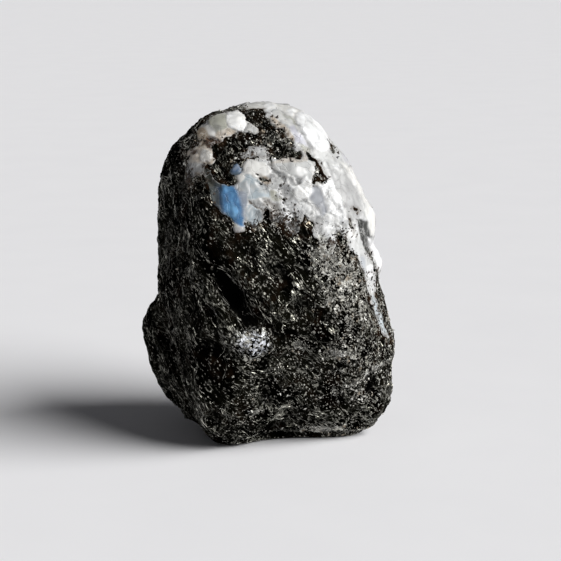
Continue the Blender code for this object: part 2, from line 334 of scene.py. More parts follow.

# Crystal faces and stains on the front view, and painted light and shade: the zones named as a
# light or a shade paint it into the colour. Each has name, colour, share of that colour, how far
# it stands up, softness of its border, outline. Later ones lie over earlier ones.
ZONES = (
    ("main mass", PALE, 0.8, 0.0, 0.5, (
        (-4.0, 15.0), (0.0, 15.5), (4.0, 15.4), (6.0, 15.0), (8.0, 12.0), (10.5, 8.0), (10.5, 4.0),
        (6.0, 4.0), (0.0, 6.0), (-3.4, 6.0), (-3.4, 10.0))),
    ("crown rim", CREAM, 0.9, 0.0, 0.25, (
        (-4.4, 23.4), (0.6, 23.6), (4.4, 22.2), (3.4, 21.1), (3.1, 20.5), (2.6, 21.0), (2.0, 21.4),
        (1.4, 21.9), (0.6, 22.2), (-0.4, 21.9), (-2.0, 21.9), (-4.4, 22.0))),
    ("crown rim's light", MILK, 0.8, 0.1, 0.25, (
        (-1.0, 22.3), (-0.6, 22.8), (0.4, 22.9), (0.8, 22.4), (0.2, 22.0), (-0.4, 21.9))),
    ("crown rim's grain", MILK, 0.9, 0.1, 0.25, (
        (2.3, 21.4), (2.4, 21.9), (3.0, 22.1), (3.4, 21.6), (3.1, 21.2), (2.7, 21.1))),
    ("left crystal", PALE, 0.9, 0.05, 0.15, (
        (0.2, 21.1), (0.3, 21.8), (1.0, 22.0), (1.9, 21.3), (2.7, 20.7), (3.2, 20.0), (3.5, 19.2),
        (3.0, 19.0), (2.6, 19.6), (1.8, 20.0), (1.0, 20.2), (0.5, 20.6))),
    ("left crystal's light", CREAM, 0.6, 0.05, 0.3, (
        (0.5, 21.6), (1.1, 21.4), (1.8, 20.9), (2.4, 20.2), (2.6, 19.8), (1.9, 20.1), (1.0, 20.5))),
    ("left crystal's edge", OLIVE, 0.7, 0.0, 0.15, (
        (1.1, 21.9), (2.2, 21.2), (3.1, 20.7), (3.5, 19.7), (3.4, 19.2), (2.9, 20.3), (2.0, 20.9))),
    ("facet by the bright crystal", LILAC, 0.9, 0.0, 0.15, (
        (2.5, 19.7), (3.1, 19.8), (3.6, 19.0), (4.2, 18.4), (4.7, 17.6), (4.9, 17.0), (4.2, 17.2),
        (3.5, 17.5), (3.2, 18.1), (2.9, 18.8))),
    ("warm edge of the band", WARM, 0.9, 0.0, 0.15, (
        (-0.1, 21.0), (0.3, 21.2), (1.1, 20.2), (1.9, 19.9), (2.4, 19.2), (2.9, 18.4), (3.3, 18.0),
        (3.2, 17.6), (2.7, 17.8), (2.0, 18.5), (1.7, 19.3), (0.9, 19.5), (0.4, 20.2))),
    ("bright crystal", MILK, 0.9, 0.15, 0.2, (
        (3.4, 21.3), (4.2, 21.7), (5.4, 21.4), (6.6, 20.4), (7.6, 19.2), (8.2, 17.9), (7.9, 16.9),
        (7.6, 16.3), (6.8, 16.3), (6.0, 16.6), (5.4, 17.1), (4.8, 17.8), (4.2, 18.8), (3.8, 19.6),
        (3.4, 20.5))),
    ("bright crystal's shade", PALE, 0.4, 0.0, 0.5, (
        (4.8, 20.6), (5.6, 20.4), (5.9, 19.4), (5.6, 18.5), (4.9, 18.6), (4.3, 19.4))),
    ("white grain under it", GREY, 1.0, 0.1, 0.12, (
        (3.1, 16.9), (3.5, 17.2), (4.1, 17.0), (4.1, 16.6), (3.6, 16.4), (3.2, 16.6))),
    ("grey under it", OLIVE, 0.8, -0.05, 0.15, (
        (3.6, 17.5), (4.2, 17.3), (4.9, 17.0), (5.4, 16.5), (5.0, 16.1), (4.4, 16.3), (4.1, 17.0))),
    ("shoulder", PALE, 0.7, 0.0, 0.3, (
        (5.3, 16.3), (6.2, 16.2), (7.2, 16.2), (8.6, 16.4), (8.8, 15.6), (8.2, 14.6), (7.6, 14.4),
        (7.2, 15.0), (6.6, 15.4), (6.0, 15.5))),
    ("far shoulder", PALE, 0.8, 0.0, 0.3, (
        (8.4, 17.4), (9.4, 16.6), (10.6, 14.6), (9.8, 14.2), (8.8, 15.2), (8.5, 16.2))),
    ("white under the shoulder", GREY, 0.5, 0.0, 0.25, (
        (7.0, 14.4), (7.6, 14.2), (8.2, 13.2), (8.6, 12.2), (8.0, 11.6), (7.2, 12.4), (7.6, 12.8),
        (7.2, 13.4))),
    ("rim smudge", LILAC, 0.6, 0.0, 0.3, (
        (9.5, 16.0), (10.1, 15.9), (10.8, 14.8), (10.6, 14.5), (9.9, 15.0))),
    ("grey band", GREY, 0.75, -0.05, 0.3, (
        (8.0, 14.5), (9.2, 14.0), (10.5, 13.2), (11.4, 11.8), (12.0, 10.0), (12.4, 8.4),
        (12.0, 7.4), (11.0, 7.6), (10.3, 8.8), (9.6, 10.2), (8.9, 11.6), (8.3, 12.9))),
    ("grey band's light", PALE, 0.4, 0.0, 0.4, (
        (8.6, 14.4), (9.8, 13.8), (10.4, 12.6), (9.8, 12.0), (9.0, 12.8))),
    ("crease", GREY, 0.9, -0.10, 0.12, (
        (7.5, 15.1), (7.9, 14.9), (8.4, 13.7), (8.9, 12.5), (9.0, 11.9), (8.6, 12.1), (8.0, 13.3))),
    ("far rim", CREAM, 1.0, 0.0, 0.3, (
        (9.6, 14.8), (11.2, 13.6), (12.4, 12.0), (13.4, 10.0), (14.2, 8.0), (14.6, 6.4),
        (13.9, 5.2), (13.5, 5.0), (13.2, 6.0), (12.9, 7.2), (12.6, 8.2), (12.8, 9.0), (12.1, 10.3),
        (11.4, 11.8), (10.7, 12.8))),
    ("flank stripe", UMBER, 1.0, -0.25, 0.1, (
        (11.3, 7.5), (12.1, 7.3), (12.9, 7.1), (13.2, 5.9), (13.6, 5.0), (13.2, 4.4),
        (13.3, 3.0), (12.8, 2.8), (12.4, 3.9), (12.1, 4.8), (11.8, 5.9), (11.6, 6.7))),
    ("flank stripe's light", DIM, 0.15, 0.0, 0.3, (
        (12.3, 6.4), (12.7, 6.0), (12.8, 4.8), (12.5, 4.6), (12.3, 5.4))),
    ("strip", PALE, 0.8, 0.0, 0.2, (
        (10.3, 6.4), (11.5, 6.4), (12.0, 4.6), (12.9, 2.7), (13.9, 0.6), (13.7, -1.0),
        (14.2, -5.0), (15.6, -8.0), (14.5, -7.0), (13.5, -4.0), (12.8, -0.8), (12.1, 1.4),
        (11.0, 3.0), (10.3, 4.6))),
    ("strip's upper light", WHITE, 0.5, 0.0, 0.25, (
        (10.4, 6.9), (11.3, 7.2), (11.6, 6.0), (11.4, 4.8), (10.6, 4.6), (10.4, 5.6))),
    ("strip's shade", COLD, 0.5, 0.0, 0.2, (
        (11.8, 2.6), (12.5, 2.4), (12.7, 1.5), (12.5, 0.4), (12.3, 0.2), (12.0, 1.4))),
    ("strip's low light", CHALK, 0.8, 0.05, 0.15, (
        (12.8, 1.1), (13.3, 1.4), (13.8, 0.9), (13.8, 0.1), (13.4, -0.3), (12.9, -0.1))),
    ("strip's grey tail", ICE, 0.8, 0.0, 0.25, (
        (13.2, -2.8), (13.9, -2.6), (14.5, -4.6), (15.8, -8.0), (14.6, -7.2), (13.6, -4.6))),
    ("right white patch", CHALK, 0.9, 0.05, 0.2, (
        (13.1, 5.0), (13.7, 4.6), (14.0, 3.6), (15.2, 3.4), (15.4, 1.8), (15.0, 0.0), (14.6, -0.6),
        (14.3, -0.2), (14.1, 1.4), (13.6, 2.6), (13.2, 3.6))),
    ("upper mass", PALE, 0.9, 0.05, 0.15, (
        (0.4, 14.9), (2.0, 15.4), (4.0, 15.0), (5.0, 15.2), (5.7, 14.6), (5.9, 13.6), (5.6, 12.6),
        (5.3, 12.1), (4.9, 12.6), (4.0, 13.0), (3.0, 13.1), (2.2, 13.2), (1.6, 13.6), (0.8, 14.1))),
    ("upper mass's light", WHITE, 0.7, 0.05, 0.25, (
        (3.4, 14.4), (4.5, 14.1), (4.7, 13.5), (4.2, 12.8), (3.5, 13.2))),
    ("warm edge under the band", WARM, 0.5, 0.0, 0.12, (
        (0.2, 14.8), (1.3, 15.4), (2.4, 15.8), (3.2, 15.5), (4.2, 15.2), (4.6, 15.9), (5.0, 15.4),
        (5.0, 15.0), (3.5, 14.9), (2.0, 14.9), (1.0, 14.7))),
    ("bright mass", WHITE, 0.8, 0.12, 0.12, (
        (4.1, 12.6), (4.8, 12.9), (5.3, 12.4), (5.5, 11.8), (5.8, 11.0), (5.4, 10.3), (4.8, 10.2),
        (4.2, 9.9), (3.7, 9.7), (3.2, 10.4), (3.1, 11.2), (2.7, 11.7), (2.3, 12.0), (2.2, 12.8),
        (2.6, 12.3), (3.5, 11.7), (4.1, 12.0))),
    ("lilac wedge", GREY, 1.0, -0.08, 0.1, (
        (2.4, 12.9), (3.3, 12.7), (4.1, 12.1), (3.8, 11.7), (3.2, 11.7), (2.5, 12.0))),
    ("grey slab", SMOKE, 1.0, -0.12, 0.15, (
        (5.5, 11.9), (6.3, 12.0), (6.9, 11.1), (7.3, 10.0), (7.5, 9.0), (7.5, 8.1), (7.0, 7.7),
        (6.5, 8.1), (6.1, 8.9), (5.5, 9.3), (5.2, 9.9), (5.5, 10.8))),
    ("bright stream", MILK, 0.9, 0.08, 0.12, (
        (6.4, 12.0), (7.2, 12.6), (8.0, 12.6), (8.6, 11.8), (9.0, 10.8), (9.5, 10.0), (9.8, 9.1),
        (10.2, 8.2), (10.4, 7.2), (10.4, 6.5), (9.5, 6.9), (8.6, 7.8), (8.0, 8.3), (7.6, 8.2),
        (7.4, 9.0), (7.1, 10.0), (6.9, 11.0))),
    ("stream's crease", GREY, 0.7, -0.10, 0.12, (
        (7.4, 11.0), (7.8, 10.8), (8.4, 10.0), (9.2, 9.0), (9.6, 8.2), (9.2, 8.0), (8.6, 9.0),
        (8.0, 9.8))),
    ("lower stream", MILK, 0.6, 0.05, 0.15, (
        (7.0, 7.0), (7.3, 7.6), (8.0, 8.0), (8.5, 7.4), (8.9, 6.6), (8.9, 5.8), (8.7, 5.0),
        (8.3, 4.6), (7.5, 5.2), (6.9, 5.8), (6.9, 6.5))),
    ("lower stream's streak", DIM, 0.7, -0.05, 0.1, (
        (8.2, 7.4), (8.5, 7.3), (8.8, 6.4), (8.9, 5.6), (8.6, 5.6), (8.5, 6.4))),
    ("middle facet", GREY, 0.9, 0.0, 0.2, (
        (4.2, 10.0), (5.2, 10.3), (5.7, 9.7), (6.1, 9.2), (6.7, 8.9), (6.9, 8.1), (6.0, 8.1),
        (5.4, 8.6), (4.9, 9.2))),
    ("beige zone", GREY, 0.8, -0.05, 0.2, (
        (4.9, 8.3), (5.8, 8.0), (6.9, 7.6), (7.0, 6.6), (6.8, 5.6), (6.4, 5.2), (6.0, 5.9),
        (5.9, 6.7), (5.3, 7.2), (5.0, 7.6))),
    ("low beige", OLIVE, 0.6, -0.05, 0.2, (
        (6.6, 5.4), (7.4, 4.9), (8.3, 4.2), (8.6, 3.4), (8.0, 2.5), (7.5, 2.7), (6.7, 3.6),
        (6.2, 4.6))),
    ("middle greys", MILK, 0.6, 0.0, 0.25, (
        (1.4, 9.8), (2.2, 9.9), (3.0, 10.2), (3.6, 9.6), (4.3, 9.6), (5.0, 9.2), (5.6, 8.7),
        (4.8, 8.5), (4.2, 8.3), (3.0, 8.3), (2.4, 8.7), (1.6, 8.7))),
    ("low mix", GREY, 0.8, -0.05, 0.25, (
        (1.2, 8.7), (1.9, 8.4), (3.0, 8.4), (4.2, 8.3), (4.0, 7.2), (3.8, 5.6), (3.0, 5.2),
        (2.2, 6.4), (1.0, 6.9), (0.6, 7.6))),
    ("low mix's shade", MOSS, 0.65, -0.05, 0.4, (
        (0.6, 7.3), (2.0, 7.4), (3.9, 7.2), (3.9, 5.5), (2.4, 5.0), (0.6, 6.4))),
    ("low white grain", MILK, 1.0, 0.08, 0.12, (
        (1.9, 8.3), (2.5, 8.4), (2.9, 7.9), (2.9, 7.2), (2.5, 6.9), (1.9, 7.1))),
    ("low pale dash", CREAM, 1.0, 0.05, 0.08, (
        (1.0, 7.75), (1.6, 7.75), (1.6, 7.5), (1.0, 7.5))),
    ("low pale streak", MILK, 1.0, 0.05, 0.1, (
        (2.1, 6.6), (2.5, 6.4), (2.9, 5.9), (3.1, 5.3), (2.8, 5.4), (2.5, 6.0), (2.1, 6.3))),
    ("cracked zone", GREY, 0.9, -0.08, 0.15, (
        (1.4, 12.0), (2.2, 12.0), (2.7, 11.2), (3.0, 10.4), (2.4, 9.6), (1.8, 9.5), (1.6, 10.2),
        (1.3, 11.0))),
    ("crack", DIM, 0.9, -0.15, 0.1, (
        (-0.1, 14.6), (0.3, 14.6), (0.7, 13.9), (1.4, 13.6), (2.0, 13.2), (2.2, 12.6), (1.9, 12.2),
        (1.5, 12.8), (0.9, 13.2), (0.4, 13.5))),
    ("light strip", GREY, 1.0, 0.08, 0.1, (
        (-0.3, 13.9), (0.1, 13.8), (0.5, 13.3), (1.1, 12.5), (0.7, 12.3), (0.2, 12.7),
        (-0.3, 13.4))),
    ("warm patch", OLIVE, 0.9, 0.0, 0.15, (
        (0.1, 11.2), (0.9, 11.1), (1.4, 10.6), (1.6, 9.9), (1.0, 9.7), (0.2, 9.9), (0.0, 10.5))),
    ("middle speck's rim", TAN, 0.9, 0.0, 0.2, (
        (-1.6, 13.2), (-0.9, 13.3), (-0.2, 12.9), (0.1, 12.2), (-0.5, 11.9), (-1.3, 12.2))),
    ("warm patch's light", MILK, 0.9, 0.05, 0.1, (
        (0.9, 10.9), (1.3, 11.0), (1.5, 10.5), (1.2, 10.2), (1.0, 10.5))),
    ("small light", PALE, 0.7, 0.05, 0.1, ((0.3, 11.9), (1.1, 11.8), (1.1, 11.6), (0.4, 11.6))),
    ("dark fibres", GREY, 0.9, -0.1, 0.15, (
        (0.1, 16.9), (1.1, 17.1), (2.0, 16.9), (2.6, 16.4), (1.9, 15.8), (1.0, 15.4), (0.3, 15.6),
        (0.1, 16.2))),
    ("fibres", GREY, 0.9, -0.05, 0.15, (
        (-3.9, 16.2), (-2.6, 17.1), (-1.6, 17.2), (-0.5, 16.8), (0.0, 16.0), (-0.1, 15.4),
        (-1.0, 15.6), (-2.2, 15.5), (-3.2, 15.3), (-3.9, 15.5))),
    ("fibres' right light", MILK, 0.8, 0.0, 0.12, (
        (-1.7, 16.9), (-1.0, 16.8), (-0.6, 16.2), (-1.0, 15.8), (-1.6, 16.2))),
    ("fibres' light", MILK, 0.9, 0.0, 0.15, (
        (-3.6, 16.0), (-2.9, 16.6), (-2.6, 16.2), (-2.9, 15.8), (-3.5, 15.6))),
    ("cream grain", CREAM, 0.9, 0.1, 0.12, (
        (-3.6, 14.2), (-3.0, 14.9), (-2.2, 15.2), (-1.3, 14.9), (-0.5, 14.8), (-0.2, 14.2),
        (0.0, 13.6), (-0.3, 13.2), (-1.0, 13.0), (-1.7, 12.8), (-2.4, 13.0), (-3.0, 13.3),
        (-3.4, 13.7))),
    ("ice grain", ICE, 1.0, 0.0, 0.15, (
        (-3.8, 12.9), (-3.0, 13.2), (-2.3, 12.9), (-1.6, 12.6), (-1.1, 12.1), (-0.5, 11.8),
        (-0.1, 11.2), (0.0, 10.6), (-0.2, 10.0), (-0.9, 10.2), (-1.8, 9.9), (-2.6, 9.9),
        (-3.0, 10.3), (-3.4, 11.0), (-3.9, 11.5), (-4.2, 12.1))),
    ("ice grain's grey side", GREY, 0.5, 0.0, 0.3, (
        (-4.0, 12.1), (-3.0, 12.3), (-2.7, 11.6), (-2.9, 10.6), (-3.8, 11.1))),
    ("ice grain's dark side", DIM, 0.7, 0.0, 0.2, (
        (-1.0, 11.9), (-0.4, 11.8), (-0.1, 11.0), (-0.6, 10.7), (-1.1, 11.2))),
    ("grey beside the flash", COLD, 0.9, 0.0, 0.15, (
        (-4.2, 11.2), (-3.4, 11.0), (-3.0, 10.4), (-3.0, 9.6), (-3.3, 9.0), (-3.6, 9.5),
        (-4.0, 10.4))),
    ("facet under the ice grain", PALE, 0.9, 0.05, 0.15, (
        (-3.0, 9.9), (-2.4, 9.7), (-1.8, 9.4), (-1.2, 9.0), (-0.9, 9.0), (-0.3, 9.3), (0.0, 9.9),
        (-0.2, 10.3), (-1.0, 10.4), (-2.0, 10.0))),
    ("facet's brown side", STAIN, 0.6, 0.0, 0.25, (
        (-1.0, 10.1), (-0.2, 10.2), (0.2, 9.6), (-0.3, 9.1), (-1.0, 9.1))),
    ("edge under the facet", STAIN, 1.0, -0.15, 0.08, (
        (-2.8, 9.9), (-1.9, 9.2), (-0.9, 8.6), (-0.9, 8.45), (-2.0, 8.95), (-2.9, 9.65))),
    ("ice grain's streaks", PALE, 0.7, 0.0, 0.2, (
        (-3.2, 12.8), (-2.0, 12.6), (-0.9, 11.9), (-0.3, 10.8), (-1.2, 10.4), (-2.6, 10.4))),
    ("ice grain's left light", MILK, 0.8, 0.03, 0.12, (
        (-3.2, 12.6), (-2.9, 12.0), (-2.6, 11.0), (-2.8, 10.3), (-3.0, 10.4), (-2.9, 11.1),
        (-3.3, 12.1))),
    ("low facet", ICE, 0.9, 0.0, 0.12, (
        (-3.2, 8.0), (-2.9, 9.3), (-2.4, 9.4), (-1.9, 8.9), (-1.3, 8.4), (-1.0, 7.5),
        (-1.6, 6.9), (-2.1, 6.1), (-2.6, 6.7), (-3.0, 7.2))),
    ("low facet's light", MILK, 0.9, 0.05, 0.12, (
        (-2.9, 8.6), (-2.4, 9.1), (-2.3, 8.3), (-2.5, 7.4), (-2.9, 7.4))),
    ("low facet's shade", DIM, 0.5, -0.05, 0.15, (
        (-2.0, 8.6), (-1.4, 8.5), (-1.1, 7.8), (-1.6, 7.2), (-2.0, 7.6))),
    ("tan mix", STAIN, 0.55, -0.05, 0.2, (
        (-0.3, 9.8), (0.5, 9.6), (1.2, 9.4), (1.2, 8.2), (0.8, 7.2), (0.2, 7.0), (-0.2, 8.0),
        (0.0, 9.0))),
    ("white triangle", CREAM, 1.0, 0.08, 0.08, (
        (-4.8, 13.2), (-4.1, 13.4), (-3.6, 13.5), (-3.3, 12.9), (-3.7, 12.3), (-4.0, 12.0),
        (-4.3, 12.3), (-4.5, 12.9))),
    ("slate zone", SLATE, 1.0, -0.1, 0.25, (
        (-8.4, 12.3), (-7.5, 12.4), (-6.6, 12.2), (-6.1, 11.8), (-6.2, 10.5), (-6.1, 9.5),
        (-5.9, 8.5), (-6.2, 7.9), (-7.2, 8.7), (-7.8, 9.4), (-8.2, 10.2), (-8.3, 11.0))),
    ("dim corner", MOSS, 1.0, -0.1, 0.3, (
        (-9.0, 14.4), (-7.6, 14.2), (-7.2, 12.6), (-7.4, 11.8), (-8.4, 11.6))),
    ("slate zone's left side", OLIVE, 0.15, 0.0, 0.3, (
        (-8.0, 12.0), (-7.6, 12.1), (-7.3, 11.0), (-7.3, 9.8), (-7.6, 9.6), (-8.0, 10.6))),
    # From here to the flash's dark streak, the zones paint the feldspar's blue sheen into its
    # colour.
    ("blue flash", BLUE, 1.0, 0.05, 0.3, (
        (-6.3, 11.9), (-5.6, 12.1), (-4.8, 11.9), (-4.3, 11.3), (-3.9, 10.5), (-3.6, 9.6),
        (-3.4, 8.6), (-3.5, 7.9), (-3.5, 7.2), (-3.4, 6.4), (-3.9, 6.4), (-4.4, 6.9),
        (-4.9, 7.1), (-5.4, 7.5), (-5.9, 8.0), (-6.2, 8.6), (-6.3, 9.4), (-6.35, 10.3),
        (-6.45, 11.1))),
    ("flash's core", SKY, 1.0, 0.0, 0.3, (
        (-5.0, 10.6), (-4.5, 10.4), (-4.2, 9.6), (-4.0, 8.6), (-4.1, 7.6), (-4.8, 7.7),
        (-5.1, 8.8), (-5.1, 9.8))),
    ("flash's shade", NIGHT, 0.40, 0.0, 0.2, (
        (-6.2, 10.8), (-5.4, 10.8), (-5.0, 9.0), (-4.6, 7.6), (-5.2, 7.7), (-6.0, 8.4))),
    ("flash's right fade", COLD, 0.75, 0.0, 0.35, (
        (-4.4, 11.4), (-3.9, 10.9), (-3.2, 9.4), (-3.2, 7.8), (-3.7, 7.9), (-3.75, 9.2),
        (-4.2, 10.4))),
    ("flash's low gap", NIGHT, 0.45, 0.0, 0.12, (
        (-4.7, 7.7), (-4.4, 7.6), (-4.1, 6.9), (-4.2, 6.6), (-4.5, 7.0))),
    ("flash's low left light", SKY, 0.7, 0.0, 0.25, (
        (-5.9, 9.3), (-5.5, 9.4), (-5.2, 8.9), (-5.4, 8.4), (-5.8, 8.5))),
    ("flash's upper light", SKY, 0.6, 0.0, 0.25, (
        (-6.2, 11.8), (-5.7, 11.7), (-5.3, 11.2), (-5.7, 10.9), (-6.2, 11.2))),
    ("flash's dark upper right", BLUE, 0.6, 0.0, 0.2, (
        (-5.3, 11.2), (-4.8, 11.2), (-4.5, 10.7), (-4.9, 10.3), (-5.3, 10.7))),
    ("flash's dark left edge", NIGHT, 0.7, -0.05, 0.1, (
        (-6.9, 11.8), (-6.5, 11.6), (-6.4, 10.4), (-6.35, 9.4), (-6.2, 8.4), (-5.6, 7.5),
        (-6.2, 7.7), (-6.6, 9.0), (-6.7, 10.4))),
    ("flash's dark streak", NIGHT, 0.5, 0.0, 0.1, (
        (-5.85, 9.2), (-5.7, 9.2), (-5.6, 8.2), (-5.5, 7.8), (-5.75, 8.0))),
    ("blue tip", GREY, 0.8, 0.15, 0.2, (
        (-4.9, 6.8), (-4.2, 6.5), (-3.6, 6.5), (-3.4, 6.0), (-3.7, 5.5), (-4.2, 5.4),
        (-4.8, 5.7), (-5.1, 6.3))),
    ("blue tip's left edge", OLIVE, 0.8, 0.0, 0.12, (
        (-5.0, 7.2), (-4.7, 7.1), (-4.3, 6.5), (-4.5, 6.3), (-5.0, 6.6))),
    # The blue grain and its light are painted sheen too.
    ("blue grain", DUSK, 1.0, 0.2, 0.1, (
        (-5.6, 13.4), (-5.2, 14.4), (-4.4, 15.0), (-3.7, 14.7), (-3.5, 14.0), (-4.0, 13.2),
        (-4.8, 13.0))),
    ("blue grain's light", COLD, 0.5, 0.0, 0.12, (
        (-4.9, 14.1), (-4.3, 14.6), (-4.0, 14.5), (-4.3, 14.0), (-4.7, 13.7))),
    ("grey grain", OLIVE, 0.9, 0.15, 0.15, (
        (-8.2, 20.2), (-7.8, 21.0), (-7.2, 21.3), (-6.3, 21.4), (-5.7, 21.4), (-5.7, 20.3),
        (-5.4, 19.6), (-5.6, 19.2), (-6.2, 18.9), (-6.9, 18.7), (-7.4, 19.0), (-7.9, 19.6))),
    ("grey grain's rim", CREAM, 0.6, 0.0, 0.15, (
        (-8.0, 20.9), (-7.2, 21.4), (-5.9, 21.6), (-5.8, 21.2), (-6.6, 21.1), (-7.4, 20.9))),
    ("grey grain's depth", DIM, 0.5, 0.0, 0.25, (
        (-7.5, 19.9), (-6.8, 19.7), (-6.4, 19.2), (-6.8, 18.9), (-7.3, 19.1))),
    ("sliver", CREAM, 1.0, 0.05, 0.12, (
        (-8.6, 19.5), (-8.1, 19.8), (-7.6, 19.5), (-7.3, 19.0), (-7.2, 18.6), (-7.6, 18.3),
        (-8.1, 18.5), (-8.4, 19.0))),
    ("grain foot", WARM, 0.8, 0.05, 0.15, (
        (-7.2, 18.7), (-6.3, 18.9), (-5.4, 19.3), (-4.6, 19.1), (-4.4, 18.8), (-5.2, 18.4),
        (-5.9, 18.3), (-6.2, 18.0), (-6.9, 17.7), (-7.2, 18.2))),
    ("grain foot's light", WARM, 0.8, 0.0, 0.15, (
        (-5.9, 18.9), (-5.2, 19.1), (-4.6, 18.9), (-5.2, 18.5), (-5.8, 18.5))),
    ("tan left", TAN, 0.9, 0.0, 0.2, (
        (-9.9, 19.2), (-9.0, 19.5), (-8.5, 19.5), (-8.2, 18.6), (-7.8, 18.1), (-7.9, 17.6),
        (-8.8, 17.3), (-9.5, 17.4), (-9.6, 18.2))),
    ("neck", TAN, 0.9, -0.05, 0.2, (
        (-9.6, 18.2), (-8.8, 18.2), (-8.4, 17.0), (-9.4, 16.8))),
    ("brown stain", BROWN, 1.0, -0.05, 0.2, (
        (-8.4, 18.3), (-7.4, 18.2), (-6.3, 17.7), (-6.8, 17.0), (-7.6, 16.4), (-8.3, 16.8),
        (-8.8, 17.4))),
    ("left patch", WARM, 0.8, 0.05, 0.15, (
        (-11.3, 16.2), (-10.7, 16.6), (-10.2, 17.0), (-9.3, 17.0), (-8.6, 17.0), (-8.0, 16.8),
        (-7.5, 16.2), (-7.4, 15.6), (-7.1, 15.3), (-7.6, 14.7), (-8.1, 14.5), (-9.0, 14.8),
        (-10.8, 14.9), (-11.1, 15.8))),
    ("left patch's light", CREAM, 0.8, 0.08, 0.15, (
        (-9.4, 15.9), (-9.0, 16.5), (-8.3, 16.6), (-7.7, 16.1), (-7.6, 15.4), (-8.3, 14.9),
        (-9.2, 15.1))),
    ("left patch's blot", BROWN, 0.9, 0.0, 0.15, (
        (-10.3, 16.6), (-9.6, 16.6), (-9.5, 16.2), (-10.1, 15.9), (-10.5, 16.2))),
    ("left patch's cold foot", GREY, 0.7, 0.0, 0.2, (
        (-11.2, 14.9), (-9.8, 14.9), (-9.0, 14.7), (-8.6, 13.6), (-9.4, 13.2), (-10.6, 13.0),
        (-11.3, 13.4))),
    ("left patch's rose foot", ROSE, 0.9, 0.05, 0.12, (
        (-9.9, 13.5), (-9.3, 13.7), (-9.0, 13.2), (-9.3, 12.9), (-9.8, 13.0))),
    ("left tail", DIM, 0.8, 0.0, 0.15, (
        (-11.4, 13.2), (-10.3, 13.0), (-10.5, 11.6), (-11.2, 11.6))),
    ("groove round the bright grain", DIM, 0.6, -0.12, 0.1, (
        (-5.95, 21.0), (-5.8, 20.1), (-5.5, 19.5), (-5.1, 19.15), (-4.4, 18.95), (-3.5, 18.75),
        (-3.2, 19.2), (-2.95, 19.7), (-2.9, 20.5), (-3.1, 21.0), (-3.4, 21.5), (-3.9, 21.9),
        (-4.5, 22.0), (-5.1, 21.95), (-5.7, 21.6))),
    ("bright grain", WHITE, 0.85, 0.22, 0.08, (
        (-5.75, 20.9), (-5.6, 20.2), (-5.4, 19.7), (-5.1, 19.35), (-4.6, 19.2), (-4.2, 19.05),
        (-3.6, 18.9), (-3.4, 19.3), (-3.15, 19.7), (-3.1, 20.4), (-3.3, 20.9), (-3.5, 21.3),
        (-3.9, 21.7), (-4.4, 21.85), (-5.0, 21.8), (-5.5, 21.5))),
    ("bright grain's shade", PALE, 0.3, 0.0, 0.3, (
        (-5.3, 20.4), (-4.9, 21.4), (-4.4, 21.2), (-4.6, 20.4), (-4.9, 19.9))),
    ("small grain", CREAM, 0.7, 0.1, 0.12, (
        (-3.1, 20.5), (-2.6, 20.1), (-2.1, 19.8), (-1.6, 19.4), (-1.5, 18.9), (-1.8, 18.5),
        (-2.2, 18.6), (-2.7, 18.9), (-3.2, 19.1))),
    ("small grain's light", PALE, 0.9, 0.0, 0.15, (
        (-2.4, 19.5), (-1.9, 19.4), (-1.7, 18.9), (-2.1, 18.7), (-2.4, 19.0))),
)

# Zones whose face is one smooth crystal.
SMOOTH_ZONES = (
    "crown rim", "left crystal", "facet by the bright crystal", "bright crystal", "shoulder",
    "far shoulder", "white under the shoulder", "grey band", "crease", "far rim", "strip",
    "right white patch", "upper mass", "grey slab", "cream grain", "ice grain",
    "grey beside the flash", "low facet", "slate zone", "blue flash", "blue tip", "blue grain",
    "grey grain", "sliver", "bright grain", "small grain",
)

# Zones that lie over others in upright streaks.
STREAKED_ZONES = (
    "flash's core", "flash's shade", "ice grain's streaks", "low facet's light",
    "fibres' light", "fibres' right light",
)

# Hollows and knobs of the schist on the front view: name, centre (u, v), half-length,
# half-width, turn in degrees, height.
FRONT_MARKS = (
    ("long hollow", -5.3, -1.9, 3.1, 1.1, -52, -1.1),
    ("hollow's deep end", -5.0, -3.6, 1.9, 1.1, -35, -0.7),
    ("hollow's high end", -6.8, 0.1, 1.4, 0.9, -62, -0.55),
    ("hollow's right wall", -4.2, -0.2, 2.8, 0.7, -53, 0.35),
    ("knob", -2.2, -8.6, 1.9, 1.5, 0, 0.55),
    ("knob's shoulder", 0.6, -8.9, 1.6, 0.8, 0, 0.25),
    ("ledge recess", 1.2, -10.9, 2.8, 0.45, 4, -0.35),
    ("middle dip", 2.6, 0.4, 2.4, 0.9, 0, -0.45),
    ("right dip", 5.6, -4.6, 2.0, 1.3, -40, -0.25),
    ("right knob", 9.6, -10.2, 1.6, 1.0, -10, 0.3),
    ("right chip edge", 14.2, -11.9, 2.6, 0.45, 38, 0.45),
    ("right chip", 14.6, -13.6, 2.0, 1.3, 38, -0.45),
    ("foot ridge", -0.8, -19.4, 3.6, 0.5, 42, 0.35),
    ("foot ridge end", 3.2, -17.0, 1.8, 0.45, 12, 0.3),
    ("foot recess", 2.0, -19.4, 2.6, 0.9, 24, -0.5),
    ("undercut", 4.8, -21.6, 5.6, 0.8, 2, -1.1),
    ("low dip", 8.2, -16.4, 2.2, 1.2, 0, -0.3),
    ("left groove", -9.3, -7.5, 5.2, 0.35, -78, -0.3),
    ("left second groove", -10.6, -4.0, 6.0, 0.3, -80, -0.25),
    ("left third groove", -7.4, -6.0, 3.6, 0.3, -74, -0.25),
    ("left ridge", -8.4, -9.5, 4.6, 0.3, -74, 0.2),
    ("upper left dip", -9.4, 12.1, 0.9, 0.9, 0, -0.5),
    ("dark pocket", -6.7, 16.2, 0.9, 1.2, 0, -0.5),
    ("band pocket", -6.0, 13.6, 1.0, 0.9, 0, -0.35),
)

